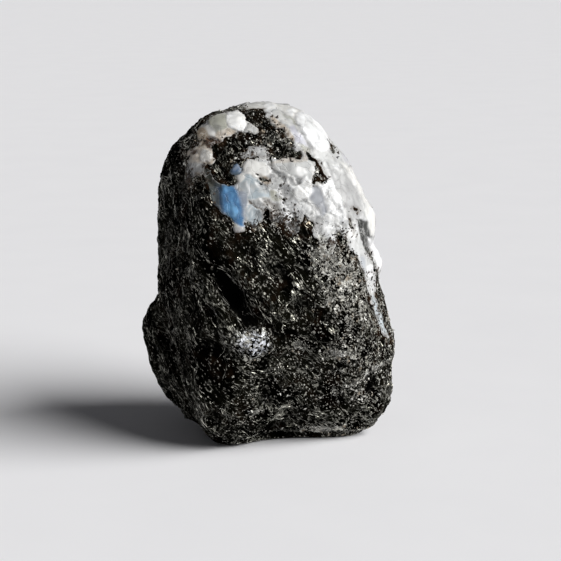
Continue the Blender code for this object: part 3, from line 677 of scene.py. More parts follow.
# Domes of the feldspar's crystals on the front view, as for the schist.
FELDSPAR_MARKS = (
    ("bright grain's dome", -4.45, 20.4, 1.2, 1.5, 8, 0.15),
    ("grey grain's dome", -6.9, 20.1, 1.5, 1.3, 0, 0.15),
    ("bright crystal's dome", 5.4, 18.6, 3.0, 1.5, -58, 0.2),
    ("ice grain's dome", -2.4, 11.5, 1.7, 1.6, 0, 0.2),
)

# Where dark grains crowd in the feldspar, as for the marks but with crowding for height. A
# negative number keeps them out.
DARK_FIELDS = (
    ("over the cluster", 4.5, 7.0, 0.7, 0.7, 0, 0.3),
    ("mix", 1.0, 7.6, 1.4, 0.9, -10, 1.4),
    ("mix streak", 3.3, 6.8, 0.6, 1.4, 0, 2.0),
    ("cracked zone", 2.0, 10.6, 0.8, 1.4, 20, 0.2),
    ("band's lower border", 1.4, 16.3, 1.6, 0.7, -10, 1.4),
    ("band's left border", -3.4, 16.6, 1.2, 0.6, 20, 1.2),
    ("fibres' border", -2.0, 15.6, 1.8, 0.5, 0, 0.3),
    ("upper border", 0.6, 20.0, 1.2, 1.0, -60, 0.2),
    ("low beige", 8.2, 4.2, 1.2, 0.9, -30, 1.2),
    ("beside the streak", 9.6, 5.6, 0.9, 0.6, -60, 1.0),
    ("tan border", -2.0, 6.5, 1.2, 0.5, 0, 2.0),
    ("strip's tail", 13.9, -4.4, 2.2, 0.6, -68, 0.3),
    ("strip's left border", 12.0, 1.2, 2.4, 0.4, -60, 0.4),
    ("tan left", -8.2, 17.5, 0.9, 0.6, -20, 1.0),
    ("left tail", -10.8, 12.6, 0.5, 1.0, 0, 4.0),
    ("slate zone", -7.3, 9.6, 0.7, 1.2, 10, 0.8),
    ("blue flash", -5.0, 9.4, 1.3, 2.2, 8, -8.0),
    ("small blue grain", -4.5, 14.0, 0.8, 0.8, 0, -8.0),
)

# Where loose pale grains crowd in the schist, as for the dark grains. Mica crests keep out of
# the emptiest places.
GRAIN_FIELDS = (
    ("dark band", -1.5, 17.9, 5.2, 1.5, -4, 0.45),
    ("dark band right", 2.2, 17.2, 2.0, 1.3, -35, 0.2),
    ("beside the pocket", -5.2, 15.8, 1.4, 1.6, 0, 0.4),
    ("dark pocket", -6.7, 16.2, 1.0, 1.4, 0, -2.0),
    ("band pocket", -6.0, 13.6, 1.2, 1.0, 0, -2.0),
    ("left of the flash", -8.6, 11.5, 1.0, 3.0, 0, -1.5),
    ("border's fade", 0.8, 5.0, 3.4, 1.3, -18, 0.15),
    ("low border's fade", 7.2, 2.2, 2.4, 1.6, -30, 2.6),
    ("under the flash", -5.4, 4.6, 2.2, 1.2, 0, -1.5),
    ("hollow's high end", -6.8, 0.3, 1.2, 1.2, 0, -3.0),
    ("left of the hollow", -7.4, -3.0, 1.3, 1.6, 0, -2.2),
    ("dark middle", 2.0, 2.6, 2.6, 0.8, -20, -1.6),
    ("dark under the cluster", 3.4, -5.4, 1.6, 1.3, -30, -1.8),
    ("right of the hollow", -0.8, -4.6, 1.6, 1.4, 0, -1.8),
    ("black cluster", 5.0, 6.2, 2.1, 0.9, -58, -4.0),
    ("dark triangle", -0.5, 8.1, 0.5, 0.9, 0, -4.0),
    ("black dip", 2.6, 1.4, 2.4, 1.2, 0, -0.8),
    ("right shoulder", 9.3, -0.5, 3.6, 5.5, 20, 1.5),
    ("right flank", 11.5, -8.0, 3.2, 6.0, 10, 0.8),
    ("middle", 1.5, 2.2, 5.0, 3.5, -20, 0.04),
    ("middle gap", 3.6, -1.3, 1.6, 1.3, 0, -3.0),
    ("under the triangle", 0.3, 4.8, 2.0, 1.2, 0, -0.6),
    ("middle streak", 0.2, -3.5, 5.5, 2.2, -42, 0.08),
    ("knob", -2.1, -8.9, 1.9, 1.3, 0, 1.5),
    ("low right", 11.5, -15.4, 4.6, 3.2, 0, 0.7),
    ("low front", 3.4, -13.5, 6.0, 3.6, 0, 0.3),
    ("foot chip", 7.6, -20.6, 3.4, 0.7, 0, 3.0),
    ("shoulder patch", 9.95, -1.0, 0.6, 0.45, 0, 9.0),
    ("upper shoulder patch", 8.0, 2.6, 0.45, 0.35, 0, 6.0),
    ("flank patch", 7.9, -3.2, 0.5, 0.3, 40, 6.0),
    ("low patch", 9.2, -10.5, 1.1, 0.6, -10, 5.0),
    ("chip's edge", 13.6, -12.6, 2.5, 0.22, 32, 4.0),
    ("foot ridge", -2.0, -18.3, 2.6, 0.3, 35, 2.0),
    ("band's tail", 6.4, 13.2, 1.3, 0.8, -50, 1.0),
    ("flank speckle", 11.0, -6.8, 1.3, 1.2, 0, 1.2),
    ("middle low patch", 4.0, -9.6, 0.7, 0.55, 0, 6.0),
)

# Where the schist's mica lies bare and sparkles, as for the pale grains. There the mica covers
# more of the surface and is coloured bright and silvery: partly real mica, partly painted highlight.
GLEAM_FIELDS = (
    ("knob", -2.2, -8.9, 1.9, 1.4, 0, 1.7),
    ("knob's foot", -1.8, -9.8, 1.6, 0.5, 0, 0.6),
    ("shoulder patch", 10.0, -1.0, 0.7, 0.5, 20, 0.9),
    ("flank patch", 9.2, -10.4, 1.1, 0.6, -10, 0.7),
    ("middle low patch", 4.0, -9.6, 0.6, 0.5, 0, 0.5),
    ("right shoulder", 9.2, 0.5, 2.6, 4.0, 20, 0.25),
    ("chip's edge", 13.6, -12.4, 2.4, 0.3, 34, 0.6),
    ("foot chip", 7.4, -20.6, 2.8, 0.5, 0, 0.6),
)


# ---------------------------------------------------------------- small maths

def unit(vector):
    return vector / np.linalg.norm(vector)


def units(vectors):
    return vectors / np.linalg.norm(vectors, axis=1)[:, None]


def smooth(low, high, values):
    t = np.clip((values - low) / (high - low), 0, 1)
    return t * t * (3 - 2 * t)


def view_axes():
    """Right, up and back of the front viewpoint."""
    e = math.radians(VIEW_ELEVATION)
    right = np.array((1.0, 0.0, 0.0))
    up = np.array((0.0, math.sin(e), math.cos(e)))
    back = np.array((0.0, -math.cos(e), math.sin(e)))
    return right, up, back


def viewpoint():
    right, up, back = view_axes()
    aim = CORE + right * AIM[0] + up * AIM[1]
    return aim + back * VIEW_DISTANCE


def front_view(points):
    """(u, v) of each point, as seen from the front viewpoint."""
    right, up, back = view_axes()
    rays = points - viewpoint()
    depth = -(rays @ back)
    seen = np.stack((rays @ right, rays @ up), axis=1) * (VIEW_DISTANCE / depth)[:, None]
    return seen + LAYOUT_OFFSET


def front_share(points, normals):
    """1 where the surface faces the front viewpoint well enough, 0 where it's turned away."""
    rays = units(viewpoint() - points)
    return smooth(-0.06, 0.16, (rays * normals).sum(axis=1))


def inside_distance(spots, outline):
    """Distance to a closed outline, positive inside it."""
    nearest = np.full(len(spots), np.inf)
    inside = np.zeros(len(spots), bool)
    corners = np.array(outline)
    for start, end in zip(corners, np.roll(corners, -1, axis=0)):
        edge = end - start
        gap = spots - start
        share = np.clip(gap @ edge / (edge @ edge), 0, 1)
        nearest = np.minimum(nearest, np.linalg.norm(gap - share[:, None] * edge, axis=1))
        if start[1] != end[1]:
            reach = start[0] + (spots[:, 1] - start[1]) * edge[0] / edge[1]
            inside ^= ((start[1] > spots[:, 1]) != (end[1] > spots[:, 1])) & (spots[:, 0] < reach)
    return np.where(inside, nearest, -nearest)


def oval(spots, u, v, length, width, turn):
    """Distance from an oval's centre, 1 on its rim."""
    c = math.cos(math.radians(turn))
    s = math.sin(math.radians(turn))
    along = (spots[:, 0] - u) * c + (spots[:, 1] - v) * s
    across = (spots[:, 1] - v) * c - (spots[:, 0] - u) * s
    return np.hypot(along / length, across / width)


def noise_at(points, size, seed):
    """Smooth noise of a size in millimetres. Each noise of the stone has a seed of its own."""
    spots = points / size + seed * NOISE_SHIFT
    return np.array([noise.noise(p) for p in spots.tolist()])


def noises_at(points, size, seeds):
    return np.stack([noise_at(points, size, seed) for seed in seeds], axis=1)


def fractal_at(points, size, octaves, seed):
    """Noise with finer and finer noise on it."""
    spots = points / size + seed * NOISE_SHIFT
    return np.array([noise.fractal(p, FRACTAL_FADE, FRACTAL_STEP, octaves) for p in spots.tolist()])


def along_grain(points, needle=2.6, layer=0.55):
    """Points in the schist's own axes, squeezed so that noise on them runs along its needles."""
    length = unit(NEEDLES)
    thick = unit(LAYER_NORMAL - length * (LAYER_NORMAL @ length))
    width = np.cross(thick, length)
    return np.stack((points @ length / needle, points @ width, points @ thick / layer), axis=1)


def cells_at(points, size, seed):
    """Offset from the nearest cell's centre, that cell's random lean and the gap to the next."""
    spots = points / size + seed * CELL_SHIFT
    centres = np.empty((len(points), 3))
    gaps = np.empty(len(points))
    tilts = np.empty((len(points), 3))
    for i, p in enumerate(spots.tolist()):
        distances, nearest = noise.voronoi(p)
        centres[i] = nearest[0]
        gaps[i] = distances[1] - distances[0]
        tilts[i] = noise.cell_vector(nearest[0] * CELL_SPREAD)
    return spots - centres, tilts, gaps


# ---------------------------------------------------------------- the fine skins

class Skin:
    """A fine copy of the stone's surface: points in millimetres, quads and outward normals."""

    def __init__(self, points, quads, normals):
        self.points = points
        self.quads = quads
        self.normals = normals
        self.spots = front_view(points)
        self.front = front_share(points, normals)

    def part(self, keep):
        """The faces whose corners are all kept, as a skin of its own, and the points used."""
        quads = self.quads[keep[self.quads].all(axis=1)]
        used = np.unique(quads)
        place = np.full(len(self.points), -1)
        place[used] = np.arange(len(used))
        return Skin(self.points[used], place[quads], self.normals[used]), used


def quad_corners(points, quads):
    return [points[quads[:, k]] for k in range(4)]


def quad_edges(quads):
    return np.concatenate([quads[:, [k, (k + 1) % 4]] for k in range(4)])


def sum_at(indices, values, count):
    """The sum of the values that go to each index."""
    return np.stack([np.bincount(indices, values[:, k], count) for k in range(3)], axis=1)


def point_normals(points, quads):
    a, b, c, d = quad_corners(points, quads)
    facing = np.cross(c - a, d - b)
    return units(sum(sum_at(quads[:, k], facing, len(points)) for k in range(4)))


def smoothed(points, quads, rounds):
    edges = quad_edges(quads)
    count = np.bincount(edges[:, 0], minlength=len(points))[:, None]
    for _ in range(rounds):
        around = sum_at(edges[:, 0], points[edges[:, 1]], len(points)) / count
        points = (points + around) / 2
    return points


def lift_to_floor(points):
    """Move the points that lie below the floor up to it."""
    points[:, 2] = np.maximum(points[:, 2], 0)


def welded_copy(mesh):
    """A copy of a mesh whose corners are joined wherever they meet."""
    mesh = mesh.copy()
    welded = bmesh.new()
    welded.from_mesh(mesh)
    bmesh.ops.remove_doubles(welded, verts=welded.verts, dist=WELD_DISTANCE)
    welded.to_mesh(mesh)
    welded.free()
    return mesh


def even_quads(mesh, voxel):
    """A mesh's points in millimetres and its faces, remeshed in even quads. Removes the mesh."""
    piece = bpy.data.objects.new("skin_source", mesh)
    bpy.context.scene.collection.objects.link(piece)
    remesh = piece.modifiers.new("even quads", "REMESH")
    remesh.mode = "VOXEL"
    remesh.voxel_size = voxel * MM
    seen = piece.evaluated_get(bpy.context.evaluated_depsgraph_get()).to_mesh()
    points = np.empty(len(seen.vertices) * 3, np.float32)
    seen.vertices.foreach_get("co", points)
    corners = np.empty(len(seen.loops), np.int32)
    seen.loops.foreach_get("vertex_index", corners)
    assert len(corners) == 4 * len(seen.polygons)
    bpy.data.objects.remove(piece)
    bpy.data.meshes.remove(mesh)
    return points.reshape(-1, 3).astype(float) / MM, corners.reshape(-1, 4)


def fine_skin(voxel):
    """The CAD stone's surface in even quads, smoothed."""
    points, quads = even_quads(welded_copy(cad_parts[NODE].data), voxel)
    rounds = int(round(4 * (SKIN_SMOOTHING / voxel) ** 2))
    points = smoothed(points, quads, rounds)
    lift_to_floor(points)
    return Skin(points, quads, point_normals(points, quads))


# ---------------------------------------------------------------- where the minerals lie

def front_field(skin):
    """Millimetres inside the feldspar as the front view's outlines draw it."""
    coarse = BORDER_SHAKE * noises_at(skin.points, 0.9, (1, 3))
    fine = FINE_BORDER_SHAKE * noises_at(skin.points, 0.4, (2, 4))
    spots = skin.spots + (coarse + fine)
    field = np.max([inside_distance(spots, line) for line in FELDSPAR_OUTLINES.values()], axis=0)
    for line in SCHIST_OUTLINES.values():
        field = np.minimum(field, -inside_distance(spots, line))
    for _, u, v, length, width, turn in SCHIST_GRAINS:
        field = np.minimum(field, (oval(spots, u, v, length, width, turn) - 1) * width)
    return field


def wedge_field(points):
    """Millimetres inside the wedge on the right flank."""
    line = WEDGE_FOOT - WEDGE_TOP
    share = np.clip((points - WEDGE_TOP) @ line / (line @ line), 0, 1)
    gap = np.linalg.norm(points - WEDGE_TOP - share[:, None] * line, axis=1)
    return WEDGE_WIDTHS[0] * (1 - share) + WEDGE_WIDTHS[1] * share - gap


def far_field(skin):
    """Millimetres inside the feldspar beyond the front view, cut by thin lenses of schist."""
    field = (skin.points - CAP_POINT) @ unit(CAP_NORMAL)
    field += 2.2 * fractal_at(skin.points, 7.0, 3, 5)
    layers = np.abs(noise_at(along_grain(skin.points, 2.0, 0.7), 5.2, 6))
    lenses = 0.13 * smooth(0.0, 0.4, noise_at(skin.points, 5.0, 7)) * smooth(1.0, 3.5, field) - 0.05
    field = np.minimum(field, (layers - lenses) * 14)
    field = np.maximum(field, wedge_field(skin.points))
    field += 0.9 * noise_at(skin.points, 2.2, 8) + 0.45 * noise_at(skin.points, 0.9, 9)
    return field


def feldspar_field(skin):
    """Millimetres inside the feldspar, negative in the schist."""
    blend = skin.front**2
    return front_field(skin) * blend + far_field(skin) * (1 - blend)


def sum_of_ovals(skin, ovals):
    """Sum of soft ovals laid out on the front view."""
    total = np.zeros(len(skin.points))
    for _, u, v, length, width, turn, amount in ovals:
        total += amount * np.exp(-oval(skin.spots, u, v, length, width, turn) ** 2)
    return total * skin.front


def zone_share(skin, spots, soft, outline):
    """1 inside an outline on the front view, 0 outside it, with a soft border."""
    share = np.zeros(len(spots))
    corners = np.array(outline)
    near = ((spots > corners.min(axis=0) - soft) & (spots < corners.max(axis=0) + soft)).all(axis=1)
    near &= skin.front > 0
    share[near] = smooth(-soft, soft, inside_distance(spots[near], outline)) * skin.front[near]
    return share


def zone_spots(skin):
    """The skin's places on the front view, shaken so that the zones' borders aren't straight."""
    return skin.spots + ZONE_SHAKE * noises_at(skin.points, 0.7, (33, 34))


# ---------------------------------------------------------------- relief

def off_the_foot(skin):
    """0 on the worn foot, 1 away from it, so that the stone keeps standing on it."""
    return smooth(0.05, FOOT_MARGIN, skin.points[:, 2])


def shared_height(skin):
    """Relief that both minerals have where they meet."""
    swellings = SHARED_SWELLINGS * noise_at(skin.points, 4.2, 11)
    return swellings + SHARED_LUMPS * noise_at(skin.points, 1.1, 16)


def ridges_at(points, size, seed):
    """1 on thin winding crests, 0 between them."""
    return 1 - np.minimum(np.abs(noise_at(points, size, seed)) / 0.35, 1)


def folds_at(points):
    """1 on the crests of the schist's folded layers, 0 in the grooves between them."""
    return ridges_at(along_grain(points, 4.5, 0.6), 1.5, 13)


def schist_height(skin, field):
    """A worn, polished skin with winding ridges along the grain and a few pits."""
    grain = along_grain(skin.points)
    height = SCHIST_SWELLINGS * noise_at(grain, 2.4, 12)
    height += SCHIST_LUMPS * noise_at(skin.points, 2.6, 15)
    height += SCHIST_FOLDS * folds_at(skin.points) ** 2 + SCHIST_RIDGES * ridges_at(grain, 0.8, 14)
    height -= SCHIST_PITS * smooth(0.2, 0.5, noise_at(skin.points, 3.2, 18)) + SCHIST_LEVEL
    height += sum_of_ovals(skin, FRONT_MARKS)
    height *= smooth(0.0, -0.9, field)
    return shared_height(skin) + height - SCHIST_DIP * smooth(0.0, 0.4, field)


def feldspar_cells(skin):
    """Broken crystal faces: offset from each face's centre, its lean, and the gap to the next."""
    bend = noises_at(skin.points, 1.6, (25, 26, 27))
    large = cells_at(skin.points + 0.35 * bend, 2.4, 21)
    small = cells_at(skin.points + 0.15 * bend, 1.0, 22)
    return large, small


def calm_share(skin, spots):
    """1 on the smooth crystals, whose faces don't break into smaller ones."""
    shares = [zone_share(skin, spots, max(soft, RELIEF_BORDER), outline)
              for name, _, _, _, soft, outline in ZONES if name in SMOOTH_ZONES]
    return np.max(shares, axis=0)


def zone_heights(skin, spots):
    height = np.zeros(len(spots))
    for _, _, _, lift, soft, outline in ZONES:
        if lift:
            height += lift * zone_share(skin, spots, max(soft, RELIEF_BORDER), outline)
    return height


def feldspar_height(skin, spots, field, cells, calm):
    """Leaning crystal faces with steps between them, and the domes and steps of the front view."""
    (offset, tilt, gap), (small_offset, small_tilt, small_gap) = cells
    height = FACE_LEAN * (offset * tilt).sum(axis=1) + FACE_STEP * tilt[:, 0]
    height -= FACE_GROOVE * np.exp(-(gap / GROOVE_WIDTH) ** 2)
    height += SMALL_FACE_LEAN * (small_offset * small_tilt).sum(axis=1)
    height -= SMALL_FACE_GROOVE * np.exp(-(small_gap / GROOVE_WIDTH) ** 2)
    height += FELDSPAR_GRIT * noise_at(skin.points, 0.5, 24)
    height *= 1 - CALMING * calm
    height += FELDSPAR_LUMPS * noise_at(skin.points, 2.0, 23)
    height *= smooth(0.0, 1.0, field)
    lifts = sum_of_ovals(skin, FELDSPAR_MARKS) + ZONE_LIFT * zone_heights(skin, spots)
    height += lifts * smooth(0.0, 0.3, field)
    return shared_height(skin) + height - FELDSPAR_DIP * smooth(0.0, -0.4, field)


# ---------------------------------------------------------------- meshes

def make_mesh(name, points, faces, smooth_faces=True):
    """A mesh object from points in millimetres and faces with one number of corners."""
    mesh = bpy.data.meshes.new(name)
    corners = faces.shape[1]
    mesh.vertices.add(len(points))
    mesh.vertices.foreach_set("co", (points * MM).astype(np.float32).ravel())
    mesh.loops.add(faces.size)
    mesh.loops.foreach_set("vertex_index", faces.astype(np.int32).ravel())
    mesh.polygons.add(len(faces))
    mesh.polygons.foreach_set("loop_start", np.arange(0, faces.size, corners, dtype=np.int32))
    mesh.polygons.foreach_set("use_smooth", np.full(len(faces), smooth_faces))
    mesh.update()
    mesh.validate()
    piece = bpy.data.objects.new(name, mesh)
    bpy.context.scene.collection.objects.link(piece)
    return piece


def add_number(piece, name, values):
    layer = piece.data.attributes.new(name, "FLOAT", "POINT")
    layer.data.foreach_set("value", values.astype(np.float32))


def add_vector(piece, name, vectors):
    layer = piece.data.attributes.new(name, "FLOAT_VECTOR", "POINT")
    layer.data.foreach_set("vector", vectors.astype(np.float32).ravel())


def add_colour(piece, name, colours):
    layer = piece.data.color_attributes.new(name, "FLOAT_COLOR", "POINT")
    opaque = np.concatenate((colours, np.ones((len(colours), 1))), axis=1)
    layer.data.foreach_set("color", opaque.astype(np.float32).ravel())


def closed_shell(points, quads, inner):
    """Outer and inner surface of a shell, and the walls that join them along its edge."""
    count = len(points)
    edges = quad_edges(quads)
    key = edges[:, 0].astype(np.int64) * count + edges[:, 1]
    twin = edges[:, 1].astype(np.int64) * count + edges[:, 0]
    rim = edges[~np.isin(key, twin)]
    walls = np.stack((rim[:, 1], rim[:, 0], rim[:, 0] + count, rim[:, 1] + count), axis=1)
    return np.concatenate((points, inner)), np.concatenate((quads, quads[:, ::-1] + count, walls))


# ---------------------------------------------------------------- node helpers

class Nodes:
    """Short names for building a material's nodes."""

    def __init__(self, name):
        self.material = bpy.data.materials.new(name)
        self.material.use_nodes = True
        self.tree = self.material.node_tree
        self.shader = self.tree.nodes["Principled BSDF"]

    def put(self, target, value):
        if isinstance(value, bpy.types.NodeSocket):
            self.tree.links.new(value, target)
        else:
            target.default_value = value

    def put_all(self, node, **values):
        """Values for a node's inputs, whose names have _ for a space."""
        for name, value in values.items():
            self.put(node.inputs[name.replace("_", " ")], value)

    def set(self, **values):
        self.put_all(self.shader, **values)

    def place(self):
        """A point's place on the stone, in metres."""
        return self.tree.nodes.new("ShaderNodeTexCoord").outputs["Object"]

    def normal(self):
        return self.tree.nodes.new("ShaderNodeNewGeometry").outputs["Normal"]

    def attribute(self, name, output="Fac"):
        node = self.tree.nodes.new("ShaderNodeAttribute")
        node.attribute_name = name
        return node.outputs[output]

    def maths(self, operation, a, b=0.0):
        node = self.tree.nodes.new("ShaderNodeMath")
        node.operation = operation
        self.put(node.inputs[0], a)
        self.put(node.inputs[1], b)
        return node.outputs[0]

    def plus(self, a, b):
        return self.maths("ADD", a, b)

    def times(self, a, b):
        return self.maths("MULTIPLY", a, b)

    def rest(self, share):
        return self.maths("SUBTRACT", 1.0, share)

    def larger(self, a, b):
        return self.maths("MAXIMUM", a, b)

    def vector(self, operation, a, b=(0.0, 0.0, 0.0)):
        node = self.tree.nodes.new("ShaderNodeVectorMath")
        node.operation = operation
        self.put(node.inputs[0], a)
        self.put(node.inputs[1], b)
        return node.outputs[0]

    def scaled(self, vector, scale):
        node = self.tree.nodes.new("ShaderNodeVectorMath")
        node.operation = "SCALE"
        self.put(node.inputs[0], vector)
        self.put(node.inputs["Scale"], scale)
        return node.outputs[0]

    def ramp(self, value, low, high, out_low=0.0, out_high=1.0):
        """A smooth step from out_low at low to out_high at high."""
        node = self.tree.nodes.new("ShaderNodeMapRange")
        node.interpolation_type = "SMOOTHSTEP"
        self.put_all(node, Value=value, From_Min=low, From_Max=high, To_Min=out_low, To_Max=out_high)
        return node.outputs[0]

    def mix(self, share, a, b, kind="MIX"):
        """From colour a to colour b; a colour is a socket or three numbers."""
        node = self.tree.nodes.new("ShaderNodeMix")
        node.data_type = "RGBA"
        node.blend_type = kind
        self.put(node.inputs[0], share)
        for socket, colour in ((node.inputs[6], a), (node.inputs[7], b)):
            self.put(socket, rgba(colour) if isinstance(colour, tuple) else colour)
        return node.outputs[2]

    def tinted(self, colour, tint):
        return self.mix(1.0, colour, tint, "MULTIPLY")

    def grey(self, value):
        node = self.tree.nodes.new("ShaderNodeCombineColor")
        self.put_all(node, Red=value, Green=value, Blue=value)
        return node.outputs[0]

    def split(self, colour):
        node = self.tree.nodes.new("ShaderNodeSeparateColor")
        self.put(node.inputs[0], colour)
        return node.outputs

    def voronoi(self, vector, scale, feature):
        node = self.tree.nodes.new("ShaderNodeTexVoronoi")
        node.feature = feature
        self.put_all(node, Vector=vector, Scale=scale)
        return node

    def cells(self, vector, scale):
        """A random colour, the same all over each cell."""
        return self.voronoi(vector, scale, "F1").outputs["Color"]

    def cell_borders(self, vector, scale):
        """0 on the borders between cells, rising away from them."""
        return self.voronoi(vector, scale, "DISTANCE_TO_EDGE").outputs["Distance"]

    def noise(self, vector, scale, detail, roughness=0.55, output="Fac", distortion=0.0):
        node = self.tree.nodes.new("ShaderNodeTexNoise")
        self.put_all(node, Vector=vector, Scale=scale, Detail=detail, Roughness=roughness,
                     Distortion=distortion)
        return node.outputs[output]

    def crests(self, vector, scale, distortion):
        """0 on winding lines, rising away from them."""
        waves = self.noise(vector, scale, 2.0, 0.5, distortion=distortion)
        return self.maths("ABSOLUTE", self.maths("SUBTRACT", waves, 0.5))

    def bump(self, height, distance, strength, normal):
        node = self.tree.nodes.new("ShaderNodeBump")
        self.put_all(node, Height=height, Distance=distance, Strength=strength, Normal=normal)
        return node.outputs[0]

    def tilt(self, normal, random_colour, amount):
        """A normal leant to a random side, the same all over each cell."""
        lean = self.vector("SUBTRACT", random_colour, (0.5, 0.5, 0.5))
        leant = self.vector("ADD", normal, self.scaled(lean, amount))
        return self.vector("NORMALIZE", leant)


def rgba(colour):
    return (*colour, 1.0)


# ---------------------------------------------------------------- materials

def schist_streaks(n, place, grain):
    """Broken winding streaks of mica, long thin threads of it and the relief of the streaks."""
    patchy = n.noise(place, 430.0, 3.0)
    breaks = n.noise(place, 1500.0, 2.0)
    curls = n.crests(grain, 0.7, 0.9)
    wisps = n.crests(grain, 1.6, 0.8)
    threads = n.crests(n.vector("MULTIPLY", grain, (0.36, 1.0, 1.0)), 1.05, 0.35)
    curl = n.times(n.ramp(curls, 0.015, 0.042, 1.0, 0.0), n.ramp(breaks, 0.46, 0.54))
    wisp = n.times(n.ramp(wisps, 0.015, 0.045, 1.0, 0.0), n.ramp(breaks, 0.50, 0.42))
    wisp = n.times(wisp, n.ramp(patchy, 0.48, 0.60, 0.0, 0.8))
    thread = n.times(n.ramp(threads, 0.012, 0.034, 1.0, 0.0), n.ramp(patchy, 0.50, 0.42))
    relief = n.plus(n.times(curls, 1.2), n.times(wisps, 0.5))
    return n.larger(curl, wisp), thread, relief


def schist_ground(n, place, broad, rust):
    """The dark, brown-stained schist between the bright flakes."""
    dark = n.mix(broad, SCHIST_BLACK, SCHIST_DARK)
    brown = n.times(n.ramp(n.noise(place, 420.0, 3.0), 0.54, 0.72), 0.4)
    return n.mix(n.larger(brown, rust), dark, SCHIST_BROWN)


def mica_colour(n, brightness, gleam, rust):
    """From dull to bright mica, silvery where it gleams, which is partly painted highlight, and
    browner where it's rusty.
    """
    flake = n.mix(brightness, MICA_DULL, n.mix(gleam, MICA_BRIGHT, MICA_SILVER))
    return n.mix(n.times(rust, 0.7), flake, n.tinted(flake, RUST_TINT))


def schist_material():
    """Near-black schist: winding bright streaks and mica cells on a dark, stained ground."""
    n = Nodes("schist")
    place = n.place()
    grain = n.attribute("grain", "Vector")
    # How far the schist is sunk under the CAD skin; it paints shade into the hollows.
    depth = n.attribute("depth")
    crowding = n.attribute("crowding")
    gleam = n.attribute("gleam")
    rust = n.attribute("rust")
    streak, thread, relief = schist_streaks(n, place, grain)
    flakes = n.cells(n.vector("MULTIPLY", grain, (1.6, 1.0, 0.8)), 7.0)
    red, green, blue = n.split(flakes)[:3]
    sparkles = n.cells(place, 2700.0)
    sparkle = n.split(sparkles)
    # Where it gleams, every cell sparkles and is coloured bright: partly real mica, partly painted
    # highlight.
    sparkling = n.ramp(n.plus(sparkle[0], n.times(gleam, 0.6)), 0.98, 1.02)
    sparkling = n.times(sparkling, n.rest(rust))
    broad = n.ramp(n.noise(grain, 0.30, 3.0), 0.42, 0.62)
    shine = n.larger(streak, n.ramp(n.plus(red, n.times(crowding, 0.05)), 0.98, 0.995))
    shine = n.times(shine, n.rest(n.times(rust, 0.7)))
    shine = n.times(shine, n.ramp(n.attribute("fold"), 0.0, 1.0, 0.45, 1.15))
    shine = n.larger(n.times(shine, broad), sparkling)
    # Painted shade: the hollows lose their mica and its shine.
    mica = n.times(n.larger(shine, thread), n.rest(depth))
    brightness = n.larger(n.maths("POWER", green, 3.0), n.times(thread, 0.35))
    brightness = n.larger(brightness, n.times(sparkling, sparkle[1]))
    ground = schist_ground(n, place, broad, rust)
    micaceous = n.mix(mica, ground, mica_colour(n, brightness, gleam, rust))
    pale = n.ramp(n.plus(blue, n.times(crowding, 0.07)), 0.96, 0.99)
    specked = n.mix(pale, micaceous, PALE_SPECK)
    # Painted shade: the deepest hollows are darkened to near black.
    n.set(Base_Color=n.mix(n.maths("POWER", depth, 1.5), specked, HOLLOW_SHADE))
    solid = n.times(n.rest(pale), n.rest(n.times(sparkling, 0.7)))
    n.set(Metallic=n.times(mica, solid))
    n.set(Roughness=n.mix(mica, GROUND_ROUGHNESS, MICA_ROUGHNESS), Specular_IOR_Level=0.0)
    leaning = n.tilt(n.normal(), n.mix(sparkling, flakes, sparkles), 0.5)
    n.set(Normal=n.bump(n.times(relief, -1.0), 0.0005, 1.0, leaning))
    return n.material


def feldspar_dimming(n, place, clouds, facets, calm, quiet):
    """How clouds, mottles and each facet's painted shade dim the feldspar: 1 is not at all."""
    mottles = n.noise(place, 1700.0, 3.0, 0.6)
    dim = n.times(n.ramp(clouds, 0.36, 0.60, 0.82, 1.0), n.ramp(mottles, 0.38, 0.60, 0.84, 1.06))
    # Painted shade: each facet is darker by its own random share, the same cell colour that leans
    # its normal.
    facet = n.times(n.times(n.split(facets)[0], 0.30), n.rest(calm))
    dim = n.times(dim, n.maths("SUBTRACT", 1.06, facet))
    return n.rest(n.times(n.rest(dim), quiet))


